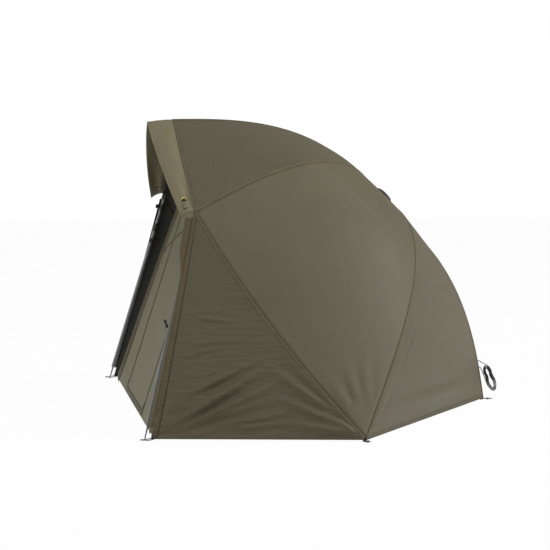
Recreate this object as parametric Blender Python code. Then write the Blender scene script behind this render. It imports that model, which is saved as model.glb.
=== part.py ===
"""Fishing brolly shelter on six ribs, with storm poles and a zipped front.

The canopy is an umbrella tilted back until its side and back ribs stand on
the ground. X runs across the shelter, the open front faces -Y, Z is up, and
the origin lies on the ground under the middle of the whole shelter.
All sizes are in metres.
"""
import math

import bmesh
import bpy
from mathutils import Matrix, Vector

# Overall sizes, measured from the line between the two front ground corners
APEX_HEIGHT = 1.398
APEX_SETBACK = 0.210
SHOULDER_HALF_WIDTH = 0.760
SHOULDER_HEIGHT = 1.000
SHOULDER_SETBACK = 0.233
FRONT_HALF_WIDTH = 1.100
SIDE_HALF_WIDTH = 1.260
SIDE_SETBACK = 0.945
DEPTH = 1.760
HUB_HEIGHT = 1.020
HUB_SETBACK = 1.250
HUB_TILT = math.radians(45)
HEM_LIFT = 0.0075
INSIDE_SETBACK_SHARE = 0.7
INSIDE_HEIGHT_SHARE = 0.4

# Cloth
CLOTH = 0.0015
SEAM_GAP = 0.0008
TOP_HOLE_RADIUS = 0.025
PEAK_REACH = 0.122
PEAK_SIDE_REACH = 0.060
PEAK_DIP = 0.012
HEM_BOW = 0.040
HEM_SWELL = 0.012
SWELL_LEAN_SHARE = 0.3
HEM_POWER = 3
FULLNESS_SHARE = 0.035
GORE_ROWS = 12
GORE_COLUMNS = 6
PANEL_ROWS = 8
PANEL_COLUMNS = 8
PANEL_END_SHARE = 0.985
PEAK_ROWS = 3
PEAK_POWER = 1.5

# Clearances
GAP = 0.0003
OVERRUN = 0.004
WELD_DIVISOR = 100
SHARP_ANGLE = math.radians(35)

# Ribs: curved glass-fibre rods under the seams
ROD_RADIUS = 0.0045
ROD_DEPTH = 0.0115
ROD_SIDES = 8
ROD_POINTS = 15
RISE_ANGLE = math.radians(3.5)
STEEPEST_BEND = math.radians(150)
STRAIGHT_SHARES = {"front_centre": 0.22, "shoulder": 0.20, "side": 0.12, "back": 0.29}
BEND_POWERS = {"front_centre": 1.9, "shoulder": 1.9, "side": 2.6, "back": 1.7}
FOLD_ANGLES = {
    "front_centre": math.radians(62),
    "shoulder": math.radians(53),
    "side": math.radians(53.5),
    "back": math.radians(69),
}
ROD_SHORT = 0.013
SHOULDER_ROD_SHORT = 0.060
CAP_RADIUS = 0.0070
CAP_LENGTH = 0.040
CAP_END = 0.004
CAP_MOUTH_SHARE = 0.8
CAP_SIDES = 14

# Hub and runner
PIVOT_RADIUS = 0.035
BOSS_RADIUS = 0.044
BOSS_CORE = 0.024
BOSS_DROP = 0.0055
BOSS_HEIGHT = 0.016
SLOT_WIDTH = 0.010
COLLAR_RADIUS = 0.019
COLLAR_LENGTH = 0.034
PIN_RADIUS = 0.003
PIN_GRIP = 0.005
EYE_RADIUS = 0.0062
EYE_WIDTH = 0.0094
HUB_CAP_RADIUS = 0.046
HUB_CAP_HEIGHT = 0.018
HUB_CAP_STEM = 0.020
HUB_CAP_RIM = 0.006
DOME_STEPS = 6
TUBE_RADIUS = 0.0125
TUBE_WALL = 0.0014
TUBE_LENGTH = 0.565
TUBE_SEAT = 0.030
PLUG_HEAD = 0.016
PLUG_SHANK = 0.022
PLUG_RADIUS = 0.0165
PLUG_FOOT_RADIUS = 0.0135
RUNNER_DROP = 0.145
RUNNER_TRAVEL = 0.327
RUNNER_HEIGHT = 0.016
RUNNER_SLEEVE = 0.058
RUNNER_SLEEVE_RADIUS = 0.0168
RUNNER_SLOT = 0.0066
ROUND_SIDES = 36

# Press catch in the runner's sleeve
CATCH_DROP = 0.036
CATCH_RADIUS = 0.0050
CATCH_HOUSING = 0.0085
CATCH_REACH = 0.0215
CATCH_STAND = 0.0040
CATCH_PRESS = 0.0030

# Stretchers and the brackets that carry them on the ribs
BRACKET_DEPTH = 0.0125
BRACKET_RADIUS = 0.0062
BRACKET_LENGTH = 0.026
BRACKET_STRAIGHT = BRACKET_LENGTH / 2 + OVERRUN
EAR_GAP = 0.0060
EAR_THICKNESS = 0.0028
EAR_LENGTH = 0.011
EAR_END = 0.005
STRETCHER_RADIUS = 0.0038
STRETCHER_EYE = 0.0050
STRETCHER_EYE_WIDTH = 0.0054
STRETCHER_NECK = 0.022
STRETCHER_NECK_WIDTH = 0.0049
STRETCHER_SEAT_SHARE = 0.7
STRETCHER_NECK_HEIGHT = 0.0066
STRETCHER_PIN = 0.0020

# Storm poles
POLE_TOP_INSET = 0.020
POLE_TOP_SETBACK = 0.012
POLE_FOOT_HALF_WIDTH = 1.072
POLE_FOOT_SETBACK = -0.025
POLE_TOP_RISE = 0.004
LOWER_RADIUS = 0.0095
LOWER_WALL = 0.0012
LOWER_START = 0.070
LOWER_FLOOR = 0.070
LOWER_END_SHARE = 0.830
UPPER_RADIUS = 0.0080
UPPER_WALL = 0.0012
UPPER_START_SHARE = 0.600
SPIKE_RADIUS = 0.0045
SPIKE_TIP = 0.0025
TOP_SPIKE_RADIUS = 0.0030
TOP_SPIKE_LENGTH = 0.026
LOCK_RADIUS = 0.0145
LOCK_LENGTH = 0.040
LOCK_OVERLAP = 0.026
LOCK_FOOT_RADIUS = 0.0130
LOCK_RIB = 0.0016
LOCK_RIB_LENGTH = 0.028
LOCK_RIB_STAND = 0.0138
LOCK_RIBS = 10
HEAD_RADIUS = 0.0125
HEAD_LENGTH = 0.034
HEAD_DROP = 0.047
UPPER_CLOSED = 0.105
HEAD_BOSS = 0.0070
HEAD_BOSS_REACH = 0.020
KNOB_RADIUS = 0.0105
KNOB_HEIGHT = 0.009
KNOB_STEM = 0.0030
KNOB_STEM_LENGTH = 0.010
KNOB_SCALLOP = 0.0030
KNOB_SCALLOPS = 6
KNOB_SCALLOP_SET = 0.0012
POLE_SIDES = 20

# Pegging rings and their webbing
WIRE_RADIUS = 0.0020
RING_HALF_WIDTH = 0.013
RING_DEPTH = 0.026
RING_BEND_POINTS = 9
WEB_WIDTH = 0.016
WEB_THICKNESS = 0.0022
WEB_REACH = 0.020
SLEEVE_RADIUS = 0.0044
SLEEVE_SIDES = 12

# Front panel, door and zip sliders
FRONT_EDGE_FOOT = 1.030
FRONT_EDGE_KNEE = 0.835
FRONT_EDGE_TOP = 0.690
FRONT_KNEE_HEIGHT = 0.700
FRONT_TOP_HEIGHT = 1.010
FRONT_FOOT_HEIGHT = 0.012
FRONT_FOOT_SETBACK = 0.012
FRONT_TOP_SETBACK = 0.330
DOOR_HALF_WIDTH = 0.440
DOOR_HEIGHT = 0.985
DOOR_GAP = 0.0008
FRONT_HEAD_CLEAR = 0.0030
FRONT_ROWS = 10
FRONT_COLUMNS = 4
DOOR_COLUMNS = 6
BROW_ROWS = 3
SLIDER_WIDTH = 0.010
SLIDER_LENGTH = 0.016
SLIDER_THICKNESS = 0.005
SLIDER_STAND = 0.0004
SLIDER_INSET = 0.002
SLIDER_START = 0.060
PULL_LENGTH = 0.022
PULL_WIDTH = 0.006
PULL_THICKNESS = 0.002

# Tie tab at each shoulder, with its bright tip
TAB_WIDTH = 0.0126
TAB_THICKNESS = 0.0025
TAB_EYE_RADIUS = 0.0090
TAG_WIDTH = 0.013
TAG_LENGTH = 0.030
TAG_THICKNESS = 0.0060
TAG_TIP = 0.010
TAG_TIP_RADIUS = 0.0029
TAG_START = 0.055
TAG_AHEAD = 0.032
TAG_CLEAR = 0.0003

# Guy cord, hanked at the back rib
CORD_RADIUS = 0.0020
HANK_LOOPS_PER_LAYER = 3
HANK_LAYERS = 2
HANK_HALF_LENGTH = 0.070
HANK_HALF_WIDTH = 0.0270
HANK_WAIST_SHARE = 0.22
HANK_WAIST_RISE_SHARE = 0.15
HANK_WAIST_SPREAD_SHARE = 0.30
HANK_CROSS_SHARE = 0.5
HANK_START_SHARE = 0.25
LEAD_IN_SHARES = (0.45, 0.8)
LEAD_OUT_SHARE = 0.4
HANK_PITCH = 0.0060
HANK_LAYER_PITCH = 0.0052
HANK_POINTS = 24
HANK_OUT = 0.020
HANK_HEIGHT = 0.118
HANK_LEAN = math.radians(-14)
CORD_EXIT_HEIGHT = 0.205
CORD_RETURN_HEIGHT = 0.172
CORD_EXIT_STAND = 0.0007

COLOURS = {
    "canopy": ((0.127, 0.114, 0.072, 1), 0.62, 0.0),
    "front": ((0.130, 0.123, 0.078, 1), 0.66, 0.0),
    "webbing": ((0.088, 0.077, 0.044, 1), 0.80, 0.0),
    "rod": ((0.030, 0.030, 0.028, 1), 0.38, 0.0),
    "nylon": ((0.016, 0.016, 0.017, 1), 0.45, 0.0),
    "pole": ((0.230, 0.225, 0.215, 1), 0.34, 0.85),
    "wire": ((0.420, 0.410, 0.395, 1), 0.30, 1.0),
    "tag": ((0.520, 0.400, 0.030, 1), 0.50, 0.0),
    "cord": ((0.012, 0.013, 0.012, 1), 0.85, 0.0),
}

AXIS = Vector((0, math.sin(HUB_TILT), math.cos(HUB_TILT)))
LEAD = Vector((0, -math.cos(HUB_TILT), math.sin(HUB_TILT)))
ACROSS = Vector((1, 0, 0))
UP = Vector((0, 0, 1))
BACK = Vector((0, 1, 0))


def ground_point(x, setback, height):
    """A point given by its place across, behind the front line and above ground."""
    return Vector((x, setback - DEPTH / 2, height))


HUB = ground_point(0, HUB_SETBACK, HUB_HEIGHT)
INSIDE = ground_point(0, HUB_SETBACK * INSIDE_SETBACK_SHARE, HUB_HEIGHT * INSIDE_HEIGHT_SHARE)


def clear_scene():
    for item in list(bpy.data.objects):
        bpy.data.objects.remove(item)


def make_materials():
    for name, (colour, roughness, metallic) in COLOURS.items():
        material = bpy.data.materials.new(name)
        material.use_nodes = True
        shader = material.node_tree.nodes["Principled BSDF"]
        shader.inputs["Base Color"].default_value = colour
        shader.inputs["Roughness"].default_value = roughness
        shader.inputs["Metallic"].default_value = metallic


def object_from(name, shape):
    """Turn an edit mesh into an object and free the edit mesh."""
    mesh = bpy.data.meshes.new(name)
    bmesh.ops.recalc_face_normals(shape, faces=shape.faces)
    shape.to_mesh(mesh)
    shape.free()
    made = bpy.data.objects.new(name, mesh)
    bpy.context.collection.objects.link(made)
    return made


def basis(along, side_hint):
    """Axes with Z along a direction and X as near as can be to a hint."""
    z_axis = along.normalized()
    y_axis = z_axis.cross(side_hint).normalized()
    x_axis = y_axis.cross(z_axis)
    return Matrix((x_axis, y_axis, z_axis)).transposed().to_4x4()


def bar(start, end, radius, sides, end_radius=None):
    """A round bar between two points, tapered when an end radius is given."""
    along = end - start
    hint = ACROSS if abs(along.normalized().dot(ACROSS)) < abs(along.normalized().dot(UP)) else UP
    place = Matrix.Translation((start + end) / 2) @ basis(along, hint)
    shape = bmesh.new()
    bmesh.ops.create_cone(
        shape, cap_ends=True, segments=sides, radius1=radius,
        radius2=radius if end_radius is None else end_radius,
        depth=along.length, matrix=place)
    return object_from("bar", shape)


def block(centre, x_axis, y_axis, z_axis, size):
    """A box with its own three axes."""
    turn = Matrix((x_axis.normalized(), y_axis.normalized(), z_axis.normalized()))
    place = Matrix.Translation(centre) @ turn.transposed().to_4x4()
    shape = bmesh.new()
    bmesh.ops.create_cube(shape, size=1, matrix=place @ Matrix.Diagonal((*size, 1)))
    return object_from("block", shape)


def bent_bar(points, radius, sides, closed=False):
    """A round bar swept along a route of points."""
    curve = bpy.data.curves.new("route", "CURVE")
    curve.dimensions = "3D"
    curve.bevel_depth = radius
    curve.bevel_resolution = (sides - 4) // 2
    curve.use_fill_caps = not closed
    curve.twist_mode = "MINIMUM"
    spline = curve.splines.new("POLY")
    spline.points.add(len(points) - 1)
    for slot, point in zip(spline.points, points):
        slot.co = (*point, 1)
    spline.use_cyclic_u = closed
    route = bpy.data.objects.new("route", curve)
    bpy.context.collection.objects.link(route)
    graph = bpy.context.evaluated_depsgraph_get()
    mesh = bpy.data.meshes.new_from_object(route.evaluated_get(graph))
    bpy.data.objects.remove(route)
    made = bpy.data.objects.new("bent", mesh)
    bpy.context.collection.objects.link(made)
    shape = bmesh.new()
    shape.from_mesh(mesh)
    bmesh.ops.remove_doubles(shape, verts=shape.verts, dist=radius / WELD_DIVISOR)
    bmesh.ops.recalc_face_normals(shape, faces=shape.faces)
    shape.to_mesh(mesh)
    shape.free()
    return made


def combine(target, tool, operation):
    """Join a tool solid to a target, or cut it away, and drop the tool."""
    step = target.modifiers.new("step", "BOOLEAN")
    step.solver = "EXACT"
    step.operation = operation
    step.object = tool
    graph = bpy.context.evaluated_depsgraph_get()
    mesh = bpy.data.meshes.new_from_object(target.evaluated_get(graph))
    target.modifiers.remove(step)
    target.data = mesh
    bpy.data.objects.remove(tool)
    return target


def join(target, *tools):
    for tool in tools:
        combine(target, tool, "UNION")
    return target


def cut(target, *tools):
    for tool in tools:
        combine(target, tool, "DIFFERENCE")
    return target


def finish(made, name, material, pivot, smooth=True):
    """Name a piece, colour it and move its origin to its pivot."""
    made.name = name
    made.data.name = name
    made.data.transform(Matrix.Translation(-pivot))
    made.location = pivot
    made.data.materials.clear()
    made.data.materials.append(bpy.data.materials[material])
    if smooth:
        made.data.shade_smooth()
        made.data.set_sharp_from_angle(angle=SHARP_ANGLE)
    return made


def cloth(name, grid, material, pivot):
    """A thin sheet through a grid of points that run over its outer face."""
    shape = bmesh.new()
    rows = [[shape.verts.new(point) for point in row] for row in grid]
    for upper, lower in zip(rows, rows[1:]):
        for a, b, c, d in zip(upper, upper[1:], lower[1:], lower):
            shape.faces.new((a, b, c, d))
    mesh = bpy.data.meshes.new(name)
    shape.to_mesh(mesh)
    shape.free()
    made = bpy.data.objects.new(name, mesh)
    bpy.context.collection.objects.link(made)
    wall = made.modifiers.new("cloth", "SOLIDIFY")
    wall.thickness = CLOTH
    wall.offset = -1
    return finish(made, name, material, pivot)


class Rib:
    """One rib: its seam over the cloth and its rod under it.

    The seam starts almost level at the hub, runs straight for a share of its
    length, and then bends down, most of all where the straight part ends.
    """

    STEPS = 160

    def __init__(self, name, kind, tip, short):
        self.name = name
        self.tip = tip
        self.fold = FOLD_ANGLES[kind]
        self.straight_share = STRAIGHT_SHARES[kind]
        self.bend_power = BEND_POWERS[kind]
        reach = tip - HUB
        ahead = reach.dot(LEAD)
        beside = reach.dot(ACROSS)
        self.out = (LEAD * ahead + ACROSS * beside).normalized()
        self.hinge = AXIS.cross(self.out)
        span = math.hypot(ahead, beside)
        drop = -reach.dot(AXIS)
        low, high = 0.0, STEEPEST_BEND
        for _ in range(60):
            middle = (low + high) / 2
            if self.chord_angle(middle) < math.atan2(drop, span):
                low = middle
            else:
                high = middle
        self.bend = (low + high) / 2
        self.trace = self.unit_trace(self.bend)
        self.length = span / self.trace[-1][0]
        self.pivot = self.point(PIVOT_RADIUS / math.cos(RISE_ANGLE), -ROD_DEPTH)
        self.rod_end = self.length - short

    def angle(self, bend, share):
        past = max(0.0, share - self.straight_share) / (1 - self.straight_share)
        return RISE_ANGLE + bend * (1 - (1 - past) ** self.bend_power)

    def unit_trace(self, bend):
        x, y = 0.0, 0.0
        trace = [(x, y)]
        for step in range(self.STEPS):
            slope = self.angle(bend, (step + 0.5) / self.STEPS)
            x += math.cos(slope) / self.STEPS
            y += math.sin(slope) / self.STEPS
            trace.append((x, y))
        return trace

    def chord_angle(self, bend):
        x, y = self.unit_trace(bend)[-1]
        return math.atan2(y, x)

    def point(self, along, above=0.0):
        """A point along the seam, raised or sunk square to it."""
        share = max(0.0, min(1.0, along / self.length))
        place = share * self.STEPS
        index = min(self.STEPS - 1, int(place))
        part = place - index
        (x0, y0), (x1, y1) = self.trace[index], self.trace[index + 1]
        x = (x0 + (x1 - x0) * part) * self.length
        y = (y0 + (y1 - y0) * part) * self.length
        return HUB + self.out * x - AXIS * y + self.outward(share) * above

    def outward(self, share):
        slope = self.angle(self.bend, share)
        return self.out * math.sin(slope) + AXIS * math.cos(slope)

    def heading(self, share):
        slope = self.angle(self.bend, share)
        return self.out * math.cos(slope) - AXIS * math.sin(slope)


def bracket_frame(rib, along):
    """The rod runs straight through its bracket: the bracket's middle, and
    the ways along the rod and down from it."""
    near = rib.point(along - BRACKET_STRAIGHT, -ROD_DEPTH)
    far = rib.point(along + BRACKET_STRAIGHT, -ROD_DEPTH)
    ahead = (far - near).normalized()
    return (near + far) / 2, ahead, rib.hinge.cross(ahead)


def stretcher_lengths(rib, along):
    """What a stretcher would measure with the canopy open, and folded."""
    middle, _, down = bracket_frame(rib, along)
    pin = middle + down * BRACKET_DEPTH - rib.pivot
    folded = Matrix.Rotation(rib.fold, 3, rib.hinge) @ pin
    return ((pin + AXIS * RUNNER_DROP).length,
            (folded + AXIS * (RUNNER_DROP + RUNNER_TRAVEL)).length)


def place_bracket(rib):
    """Where along a rib its bracket lies, so that one stretcher meets the
    runner both when the canopy is open and when it is folded."""
    low, high = PIVOT_RADIUS + BRACKET_LENGTH, TUBE_LENGTH
    for _ in range(50):
        middle = (low + high) / 2
        opened, folded = stretcher_lengths(rib, middle)
        if opened < folded:
            low = middle
        else:
            high = middle
    return low


def make_ribs():
    """Six ribs, from the front one round to the back one."""
    apex = ground_point(0, APEX_SETBACK, APEX_HEIGHT)
    back = ground_point(0, DEPTH, HEM_LIFT)
    ribs = {
        "front_centre": Rib("front_centre", "front_centre", apex, ROD_SHORT),
        "back": Rib("back", "back", back, ROD_SHORT),
    }
    for side, sign in (("left", 1), ("right", -1)):
        shoulder = ground_point(sign * SHOULDER_HALF_WIDTH, SHOULDER_SETBACK, SHOULDER_HEIGHT)
        flank = ground_point(sign * SIDE_HALF_WIDTH, SIDE_SETBACK, HEM_LIFT)
        ribs["front_" + side] = Rib("front_" + side, "shoulder", shoulder, SHOULDER_ROD_SHORT)
        ribs["side_" + side] = Rib("side_" + side, "side", flank, ROD_SHORT)
    order = ("front_centre", "front_left", "side_left", "back", "side_right", "front_right")
    for place, name in enumerate(order):
        after = order[(place + 1) % len(order)]
        ribs[name].beside = (ribs[order[place - 1]], ribs[after])
        ribs[name].bracket = place_bracket(ribs[name])
    return ribs


def rod_route(rib):
    """The rod's middle line, with a straight last stretch for its cap."""
    cap_start = rib.rod_end - CAP_LENGTH
    start = PIVOT_RADIUS / math.cos(RISE_ANGLE)
    straight = rib.length * rib.straight_share
    bends = ROD_POINTS - 2
    stops = [straight + (cap_start - straight) * step / (bends - 1) for step in range(bends)]
    stops = [stop for stop in stops if abs(stop - rib.bracket) > BRACKET_LENGTH]
    stops += [start, rib.bracket - BRACKET_STRAIGHT, rib.bracket + BRACKET_STRAIGHT, rib.rod_end]
    return [rib.point(stop, -ROD_DEPTH) for stop in sorted(stops)]


def below_ground(around):
    """A slab under the ground that cuts a foot flat."""
    size = SIDE_HALF_WIDTH / 2
    centre = Vector((around.x, around.y, -size / 2))
    return block(centre, ACROSS, BACK, UP, (size, size, size))


def build_rib(rib):
    route = rod_route(rib)
    made = bent_bar(route, ROD_RADIUS, ROD_SIDES)
    half_eye = rib.hinge * (EYE_WIDTH / 2)
    join(made, bar(rib.pivot - half_eye, rib.pivot + half_eye, EYE_RADIUS, CAP_SIDES))
    middle, ahead, down = bracket_frame(rib, rib.bracket)
    half = ahead * (BRACKET_LENGTH / 2)
    join(made, bar(middle - half, middle + half, BRACKET_RADIUS, CAP_SIDES))
    drop = BRACKET_DEPTH + EAR_END
    for sign in (1, -1):
        aside = rib.hinge * (sign * (EAR_GAP + EAR_THICKNESS) / 2)
        centre = middle + aside + down * (drop / 2)
        join(made, block(centre, ahead, rib.hinge, down, (EAR_LENGTH, EAR_THICKNESS, drop)))
    pin = middle + down * BRACKET_DEPTH
    grip = rib.hinge * (EAR_GAP / 2 + EAR_THICKNESS / 2)
    join(made, bar(pin - grip, pin + grip, STRETCHER_PIN, CAP_SIDES))
    through = rib.hinge * (EYE_WIDTH / 2 + OVERRUN)
    cut(made, bar(rib.pivot - through, rib.pivot + through, PIN_RADIUS + GAP, CAP_SIDES))
    return finish(made, "rib_" + rib.name, "rod", rib.pivot)


def build_cap(rib, outward):
    """The moulded cap on a rod's end; on a rib that stands on the ground it
    has a flat foot and a webbing loop for the pegging ring."""
    route = rod_route(rib)
    along = (route[-1] - route[-2]).normalized()
    closed_end = route[-1] + along * (GAP + CAP_END)
    if outward is not None:
        closed_end = at_height(closed_end, along, -CAP_RADIUS)
    mouth = route[-1] - along * (CAP_LENGTH * CAP_MOUTH_SHARE)
    made = bar(mouth, closed_end, CAP_RADIUS, CAP_SIDES)
    if outward is not None:
        add_web(made, rib.tip, outward, at_height(closed_end, along, SLEEVE_RADIUS))
    cut(made, bar(mouth - along * OVERRUN, route[-1] + along * GAP, ROD_RADIUS + GAP, CAP_SIDES))
    if outward is not None:
        cut(made, below_ground(closed_end))
    return finish(made, "rib_cap_" + rib.name, "nylon", rib.pivot)


def at_height(point, along, height):
    """Where a line through a point reaches a height."""
    return point + along * ((height - point.z) / along.z)


def ring_pivot(place, outward):
    """The middle of a pegging ring's straight side."""
    return Vector((place.x, place.y, SLEEVE_RADIUS)) + outward * WEB_REACH


def add_web(made, place, outward, root):
    """A webbing tab that runs out from a corner and folds round a ring."""
    pivot = ring_pivot(place, outward)
    bar_way = UP.cross(outward)
    half = bar_way * (WEB_WIDTH / 2)
    way = pivot - root
    centre = (root + pivot) / 2
    size = (way.length, WEB_WIDTH, WEB_THICKNESS)
    join(made, block(centre, way, bar_way, way.cross(bar_way), size))
    join(made, bar(pivot - half, pivot + half, SLEEVE_RADIUS, SLEEVE_SIDES))
    through = bar_way * (WEB_WIDTH / 2 + OVERRUN)
    cut(made, bar(pivot - through, pivot + through, WIRE_RADIUS + GAP, SLEEVE_SIDES))


def build_ring(name, place, outward):
    """A bent-wire ring whose straight side turns in its webbing."""
    pivot = ring_pivot(place, outward)
    bar_way = UP.cross(outward)
    round_depth = RING_DEPTH - RING_HALF_WIDTH
    points = [pivot - bar_way * RING_HALF_WIDTH]
    for step in range(RING_BEND_POINTS):
        turn = math.pi * step / (RING_BEND_POINTS - 1)
        reach = round_depth + RING_HALF_WIDTH * math.sin(turn)
        points.append(pivot - bar_way * RING_HALF_WIDTH * math.cos(turn) + outward * reach)
    points.append(pivot + bar_way * RING_HALF_WIDTH)
    made = bent_bar(points, WIRE_RADIUS, 6, closed=True)
    return finish(made, name, "wire", pivot)


def build_stretcher(rib):
    middle, _, down = bracket_frame(rib, rib.bracket)
    outer = middle + down * BRACKET_DEPTH
    inner = rib.pivot - AXIS * RUNNER_DROP
    along = (inner - outer).normalized()
    neck = along * STRETCHER_NECK
    seat = neck * STRETCHER_SEAT_SHARE
    made = bar(outer + seat, inner - seat, STRETCHER_RADIUS, ROD_SIDES)
    side = rib.hinge
    half = side * (STRETCHER_EYE_WIDTH / 2)
    for end, sense in ((outer, 1), (inner, -1)):
        centre = end + neck * (sense / 2)
        size = (STRETCHER_NECK, STRETCHER_NECK_WIDTH, STRETCHER_NECK_HEIGHT)
        join(made, block(centre, along, side, along.cross(side), size))
        join(made, bar(end - half, end + half, STRETCHER_EYE, CAP_SIDES))
    through = side * (STRETCHER_EYE_WIDTH / 2 + OVERRUN)
    for end in (outer, inner):
        cut(made, bar(end - through, end + through, STRETCHER_PIN + GAP, CAP_SIDES))
    finish(made, "stretcher_" + rib.name, "pole", outer)
    return outer, along, (inner - outer).length


def stretcher_swing(rib, outer, along, length):
    """Degrees a stretcher turns about its bracket while the canopy folds."""
    turned = Matrix.Rotation(rib.fold, 3, rib.hinge)
    pin = rib.pivot + turned @ (outer - rib.pivot)
    inner = rib.pivot - AXIS * (RUNNER_DROP + RUNNER_TRAVEL)
    first = turned @ along
    last = (inner - pin) / length
    return math.degrees(math.atan2(first.cross(last).dot(rib.hinge), first.dot(last)))


def castle(ribs, top, height, slot_width, core):
    """A round block with a slot for each rib, open above, below and outside."""
    made = bar(top - AXIS * height, top, BOSS_RADIUS, ROUND_SIDES)
    for rib in ribs.values():
        length = BOSS_RADIUS - core + OVERRUN
        centre = top - AXIS * (height / 2) + rib.out * (core + length / 2)
        size = (length, slot_width, height + 2 * OVERRUN)
        cut(made, block(centre, rib.out, rib.hinge, AXIS, size))
    return made


def build_hub(ribs):
    """The hub: a slotted boss with a pin across each slot and a collar for
    the centre tube."""
    top = HUB - AXIS * BOSS_DROP
    made = castle(ribs, top, BOSS_HEIGHT, SLOT_WIDTH, BOSS_CORE)
    low = top - AXIS * (BOSS_HEIGHT + COLLAR_LENGTH)
    join(made, bar(low, top - AXIS * (BOSS_HEIGHT / 2), COLLAR_RADIUS, ROUND_SIDES))
    for rib in ribs.values():
        grip = rib.hinge * (SLOT_WIDTH / 2 + PIN_GRIP)
        join(made, bar(rib.pivot - grip, rib.pivot + grip, PIN_RADIUS, CAP_SIDES))
    seat = low + AXIS * TUBE_SEAT
    cut(made, bar(low - AXIS * OVERRUN, seat, TUBE_RADIUS + GAP, ROUND_SIDES))
    return finish(made, "hub_boss", "nylon", HUB), seat


def build_hub_cap():
    """A domed cap over the cloth, with a stem down to the boss."""
    shape = bmesh.new()
    profile = [(0, HUB_CAP_HEIGHT)]
    for step in range(1, DOME_STEPS + 1):
        turn = math.pi / 2 * step / DOME_STEPS
        profile.append((HUB_CAP_RADIUS * math.sin(turn),
                        HUB_CAP_RIM + (HUB_CAP_HEIGHT - HUB_CAP_RIM) * math.cos(turn)))
    under = GAP - TOP_HOLE_RADIUS * math.tan(RISE_ANGLE)
    profile += [(HUB_CAP_RADIUS, under), (HUB_CAP_STEM, under), (HUB_CAP_STEM, GAP - BOSS_DROP)]
    profile.append((0, GAP - BOSS_DROP))
    verts = [shape.verts.new((r, 0, z)) for r, z in profile]
    edges = [shape.edges.new(pair) for pair in zip(verts, verts[1:])]
    bmesh.ops.spin(shape, geom=verts + edges, cent=(0, 0, 0), axis=(0, 0, 1),
                   angle=2 * math.pi, steps=ROUND_SIDES, use_merge=True)
    bmesh.ops.remove_doubles(shape, verts=shape.verts, dist=GAP / WELD_DIVISOR)
    made = object_from("hub_cap", shape)
    made.data.transform(Matrix.Translation(HUB) @ basis(AXIS, ACROSS))
    return finish(made, "hub_cap", "nylon", HUB)


def build_centre_tube(seat):
    """The short tube that the runner slides on, and the plug in its end."""
    top = seat - AXIS * GAP
    low = top - AXIS * TUBE_LENGTH
    made = bar(low, top, TUBE_RADIUS, ROUND_SIDES)
    over = AXIS * OVERRUN
    cut(made, bar(low - over, top + over, TUBE_RADIUS - TUBE_WALL, ROUND_SIDES))
    finish(made, "centre_tube", "pole", HUB)
    head = low - AXIS * GAP
    plug = bar(head - AXIS * PLUG_HEAD, head, PLUG_FOOT_RADIUS, ROUND_SIDES, PLUG_RADIUS)
    shank = TUBE_RADIUS - TUBE_WALL - GAP
    join(plug, bar(head - AXIS * (PLUG_HEAD / 2), head + AXIS * PLUG_SHANK, shank, ROUND_SIDES))
    finish(plug, "tube_plug", "nylon", HUB)


def build_runner(ribs):
    """The runner: a slotted ring that holds the stretchers' inner ends, over
    a sleeve with a housing for the press catch."""
    pivot = ribs["front_centre"].pivot
    level = (pivot - HUB).dot(AXIS) - RUNNER_DROP
    centre = HUB + AXIS * level
    top = centre + AXIS * (RUNNER_HEIGHT / 2)
    made = castle(ribs, top, RUNNER_HEIGHT, RUNNER_SLOT, BOSS_CORE + STRETCHER_EYE / 2)
    low = centre - AXIS * RUNNER_SLEEVE
    join(made, bar(low, centre, RUNNER_SLEEVE_RADIUS, ROUND_SIDES))
    catch = centre - AXIS * CATCH_DROP
    join(made, bar(catch + LEAD * (TUBE_RADIUS + CATCH_PRESS), catch + LEAD * CATCH_REACH,
                   CATCH_HOUSING, CAP_SIDES))
    over = AXIS * OVERRUN
    cut(made, bar(low - over, top + over, TUBE_RADIUS + GAP, ROUND_SIDES))
    cut(made, bar(catch, catch + LEAD * (CATCH_REACH + OVERRUN), CATCH_RADIUS + GAP, CAP_SIDES))
    finish(made, "runner", "nylon", centre)
    inner = catch + LEAD * (TUBE_RADIUS + GAP + CATCH_PRESS + GAP)
    button = bar(inner, catch + LEAD * (CATCH_REACH + CATCH_STAND), CATCH_RADIUS, CAP_SIDES)
    finish(button, "runner_catch", "nylon", catch)
    return catch


def seam_rows(rib):
    """Shares of a seam's length from the hole at the top to the hem."""
    first = TOP_HOLE_RADIUS / rib.length
    return [first + (1 - first) * (row / GORE_ROWS) for row in range(GORE_ROWS + 1)]


def hem_shift(kind, share, start, end):
    """How far the middle of a hem stands off the line between its corners."""
    swing = 4 * share * (1 - share)
    if kind == "shoulder":
        toward = ground_point(math.copysign(FRONT_HALF_WIDTH, start.x + end.x), 0, HEM_LIFT)
        away = (toward - (start + end) / 2).normalized()
        return away * (HEM_BOW * swing)
    if kind == "brow":
        return (UP - BACK * SWELL_LEAN_SHARE) * (HEM_SWELL * swing)
    return Vector()


def seam_trim(rib, share):
    """How far a gore stops short of its seam: a gap, and what the sheet's
    thickness takes up where the cloth bends over the rib."""
    place = rib.point(share * rib.length)
    heading = rib.heading(share)
    sides = []
    for other in rib.beside:
        side = other.point(share * other.length) - place
        sides.append(side - heading * side.dot(heading))
    turn = sides[0].angle(-sides[1])
    return GAP + CLOTH * math.tan(turn / 2)


def gore_point(first, second, kind, a_share, b_share, share):
    """A point on the cloth between two ribs, and the way it faces."""
    a = first.point(a_share * first.length)
    b = second.point(b_share * second.length)
    normal = (first.outward(a_share) + second.outward(b_share)).normalized()
    swing = 4 * share * (1 - share)
    fullness = FULLNESS_SHARE * (b - a).length * swing * 4 * a_share * (1 - a_share)
    shift = hem_shift(kind, share, first.tip, second.tip) * a_share ** HEM_POWER
    return a.lerp(b, share) + normal * fullness + shift, normal


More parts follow.
